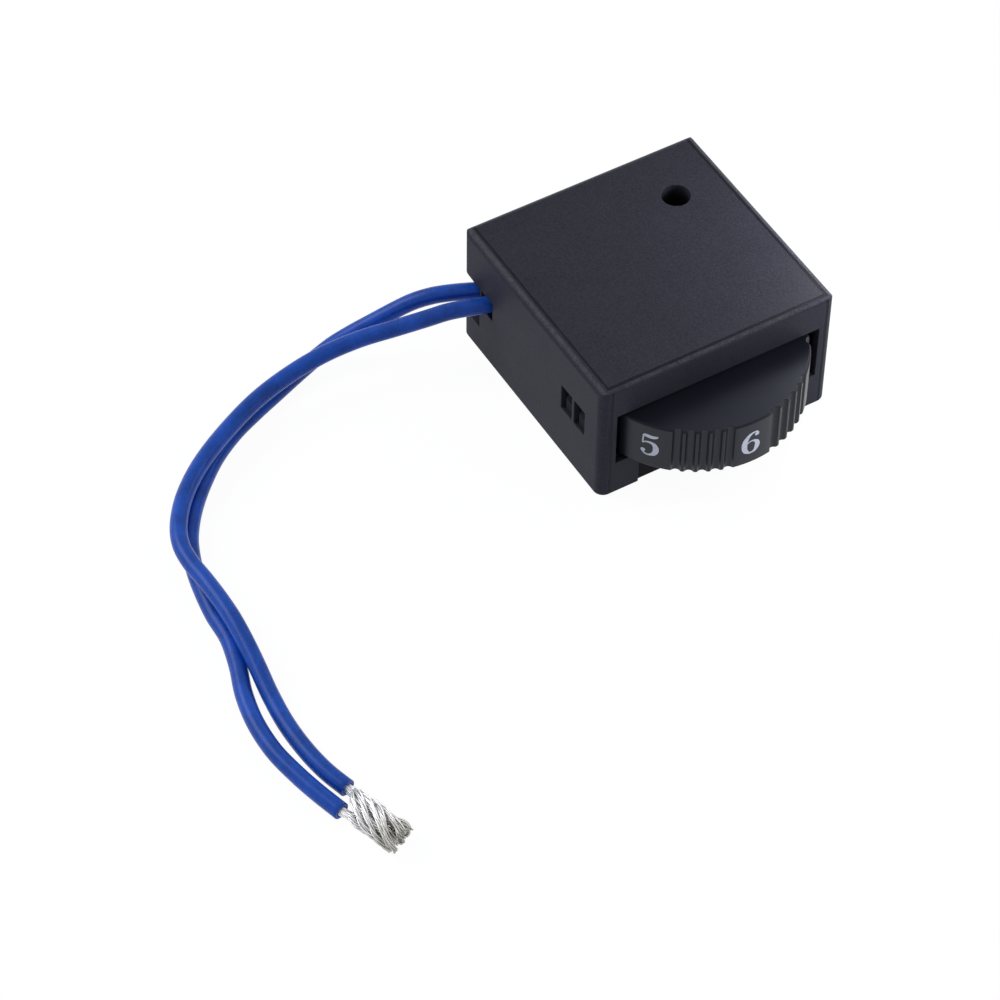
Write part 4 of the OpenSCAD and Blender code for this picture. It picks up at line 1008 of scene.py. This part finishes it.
class SWITCH_OT_circuit(bpy.types.Operator):
    """Finishes the circuit board and the parts that are soldered to it"""

    bl_idname = "speed_switch.circuit"
    bl_label = "Circuit"

    def execute(self, context):
        s = context.scene.switch_circuit
        tinned = metal("tinned wire", (0.74, 0.74, 0.75), 0.25)
        bright = metal("solder", s.solder[:], 0.18, grain=0.0004, depth=0.00001, dull=0.8)
        core = metal("core metal", (0.76, 0.76, 0.77), 0.3)
        low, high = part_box("timing_resistor")
        brown, red, gold, black = (0.10, 0.03, 0.01), (0.45, 0.02, 0.01), (0.50, 0.33, 0.08), (0.01, 0.01, 0.01)
        rings = [(-0.36, 0.10, brown), (-0.14, 0.09, black), (0.04, 0.09, red), (0.30, 0.09, gold)]
        finishes = {
            "circuit_board": board_material(s.board[:], s.mask[:]),
            "triac_body": moulded("triac resin", (0.012, 0.012, 0.013), 0.5, 0.00012, 0.000008),
            "triac_plate": metal(
                "triac plate", (0.68, 0.68, 0.70), 0.3, grain=0.0003, stretch=(1.0, 1.0, 0.08)
            ),
            "film_capacitor": lacquer("film case", s.film[:], 0.22, coat=0.5, fade=0.12),
            "disc_capacitor": lacquer("disc coating", s.disc[:], 0.35, wave=0.0008, coat=0.35),
            "diac_body": lacquer("diac glass", (0.02, 0.055, 0.26), 0.12, coat=0.9, fade=0.3),
            "timing_resistor": banded(
                "timing coating", (0.52, 0.36, 0.19), rings, 0, (low.x + high.x) / 2, high.x - low.x
            ),
            "core_a": core,
            "core_b": core,
        }
        low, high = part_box("snubber_resistor")
        finishes["snubber_resistor"] = banded(
            "snubber coating", (0.10, 0.26, 0.36), rings, 1, (low.y + high.y) / 2, high.y - low.y
        )
        for node, finish in finishes.items():
            shade(NODES[node], finish)
        for node in NODES:
            if node.startswith("solder_"):
                shade(NODES[node], bright)
            elif "_leg_" in node or "_lead_" in node:
                shade(NODES[node], tinned)
        return {"FINISHED"}


# ---------------------------------------------------------------- stage

# The photograph's camera: azimuth, elevation and roll in degrees, and its place
CAMERA_TURNS = (-31.356, 49.037, 0.862)
CAMERA_PLACE = (-0.18439, -0.26991, 0.35030)
# Each lamp's name, place, target, size, setting of its power and share of that power
LAMPS = [
    ("key", (-0.24, 0.23, 0.28), (-0.02, -0.01, 0.0), (0.23, 0.23), "key", 1.0),
    ("side", (0.13, -0.13, 0.05), (0.012, -0.018, 0.010), (0.10, 0.08), "side", 1.0),
    ("haze", (0.031, -0.004, 0.035), (0.016, -0.016, 0.014), (0.012, 0.012), "haze", 1.0),
    ("glint", (0.036, -0.036, 0.030), (0.010, -0.022, 0.009), (0.014, 0.014), "haze", 0.8),
]
ROOM_TINT = (0.97, 0.985, 1.0)
# Half the floor's side, how far it lies under the foot, in metres, and what the camera sees of it
FLOOR_HALF = 3.0
FLOOR_DROP = 0.00002
FLOOR_GLOW = 1.04


def photo_camera(lens):
    """A camera 472 mm away, 31.4 degrees to the left of the front and 49 degrees up, rolled 0.86 degrees."""
    az, el, roll = (math.radians(v) for v in CAMERA_TURNS)
    back = Vector((math.sin(az) * math.cos(el), -math.cos(az) * math.cos(el), math.sin(el)))
    right = Vector((math.cos(az), math.sin(az), 0))
    up = back.cross(right)
    across = right * math.cos(roll) + up * math.sin(roll)
    above = up * math.cos(roll) - right * math.sin(roll)
    data = bpy.data.cameras.new("camera")
    data.lens = lens
    data.sensor_width = 36
    data.clip_start = 0.01
    data.clip_end = 50
    camera = bpy.data.objects.new("camera", data)
    bpy.context.scene.collection.objects.link(camera)
    turn = Matrix((across, above, back)).transposed().to_4x4()
    camera.matrix_world = Matrix.Translation(CAMERA_PLACE) @ turn
    bpy.context.scene.camera = camera


def soft_lamp(name, place, target, size, watts):
    """A rectangular lamp at place, facing target, that the camera doesn't see."""
    data = bpy.data.lights.new(name, "AREA")
    data.energy = watts
    data.shape = "RECTANGLE"
    data.size, data.size_y = size
    lamp = bpy.data.objects.new(name, data)
    lamp.visible_camera = False
    bpy.context.scene.collection.objects.link(lamp)
    aim = (Vector(target) - Vector(place)).to_track_quat("-Z", "Y")
    lamp.matrix_world = Matrix.Translation(place) @ aim.to_matrix().to_4x4()


def light_room(strength):
    """Even light all round. The camera, mirrors and glass see plain white instead."""
    world = bpy.data.worlds.new("room")
    bpy.context.scene.world = world
    world.use_nodes = True
    sheet = Sheet(world.node_tree, "ShaderNodeOutputWorld")
    light = sheet.node("ShaderNodeBackground", None, {"Color": ROOM_TINT, "Strength": strength})
    white = sheet.node("ShaderNodeBackground", None, {"Color": (1.0, 1.0, 1.0), "Strength": 1.0})
    sheet.surface(sheet.seen(), light, white)


def lay_floor(tone, shadow):
    """A plain floor under the box. The camera sees it nearly all white, so its shadow stays faint."""
    mesh = bpy.data.meshes.new("floor")
    corners = [(x * FLOOR_HALF, y * FLOOR_HALF, 0) for x, y in ((-1, -1), (1, -1), (1, 1), (-1, 1))]
    mesh.from_pydata(corners, [], [(0, 1, 2, 3)])
    floor = bpy.data.objects.new("floor", mesh)
    floor.location.z = -FLOOR_DROP
    bpy.context.scene.collection.objects.link(floor)
    material = bpy.data.materials.new("floor")
    material.use_nodes = True
    sheet = Sheet(material.node_tree, "ShaderNodeOutputMaterial")
    matt = sheet.node("ShaderNodeBsdfDiffuse", None, {"Color": tone})
    white = sheet.node("ShaderNodeEmission", None, {"Strength": FLOOR_GLOW})
    sheet.surface(sheet.seen() * (1 - shadow), matt, white)
    mesh.materials.append(material)


class SWITCH_OT_stage(bpy.types.Operator):
    """Sets up the floor, the lights and the camera"""

    bl_idname = "speed_switch.stage"
    bl_label = "Stage"

    def execute(self, context):
        s = context.scene.switch_stage
        context.scene.view_settings.view_transform = "Standard"
        photo_camera(s.lens)
        light_room(s.room)
        lay_floor(s.floor[:], s.shadow)
        for name, place, target, size, setting, part in LAMPS:
            soft_lamp(name, place, target, size, getattr(s, setting) * part)
        return {"FINISHED"}


# ---------------------------------------------------------------- panel and run


class SWITCH_PT_panel(bpy.types.Panel):
    """Lists the steps and their settings"""

    bl_idname = "SWITCH_PT_panel"
    bl_label = "Speed Switch"
    bl_space_type = "VIEW_3D"
    bl_region_type = "UI"
    bl_category = "Speed Switch"

    def draw(self, context):
        layout = self.layout
        for operator, settings in STEPS:
            box = layout.box()
            box.operator(operator.bl_idname)
            if settings:
                group = getattr(context.scene, settings)
                for name in SETTINGS[settings].__annotations__:
                    box.prop(group, name)


STEPS = [
    (SWITCH_OT_stage, "switch_stage"),
    (SWITCH_OT_leads, "switch_leads"),
    (SWITCH_OT_box, "switch_box"),
    (SWITCH_OT_wheel, "switch_wheel"),
    (SWITCH_OT_potentiometer, None),
    (SWITCH_OT_circuit, "switch_circuit"),
]


def register():
    for group in SETTINGS.values():
        bpy.utils.register_class(group)
    for name, group in SETTINGS.items():
        setattr(bpy.types.Scene, name, PointerProperty(type=group))
    for operator, _ in STEPS:
        bpy.utils.register_class(operator)
    bpy.utils.register_class(SWITCH_PT_panel)


def unregister():
    bpy.utils.unregister_class(SWITCH_PT_panel)
    for operator, _ in reversed(STEPS):
        bpy.utils.unregister_class(operator)
    for name in SETTINGS:
        delattr(bpy.types.Scene, name)
    for group in reversed(list(SETTINGS.values())):
        bpy.utils.unregister_class(group)


def main():
    register()
    bpy.ops.speed_switch.stage()
    bpy.ops.speed_switch.leads()
    bpy.ops.speed_switch.box()
    bpy.ops.speed_switch.wheel()
    bpy.ops.speed_switch.potentiometer()
    bpy.ops.speed_switch.circuit()
    bpy.context.view_layer.update()


if __name__ == "__main__":
    main()
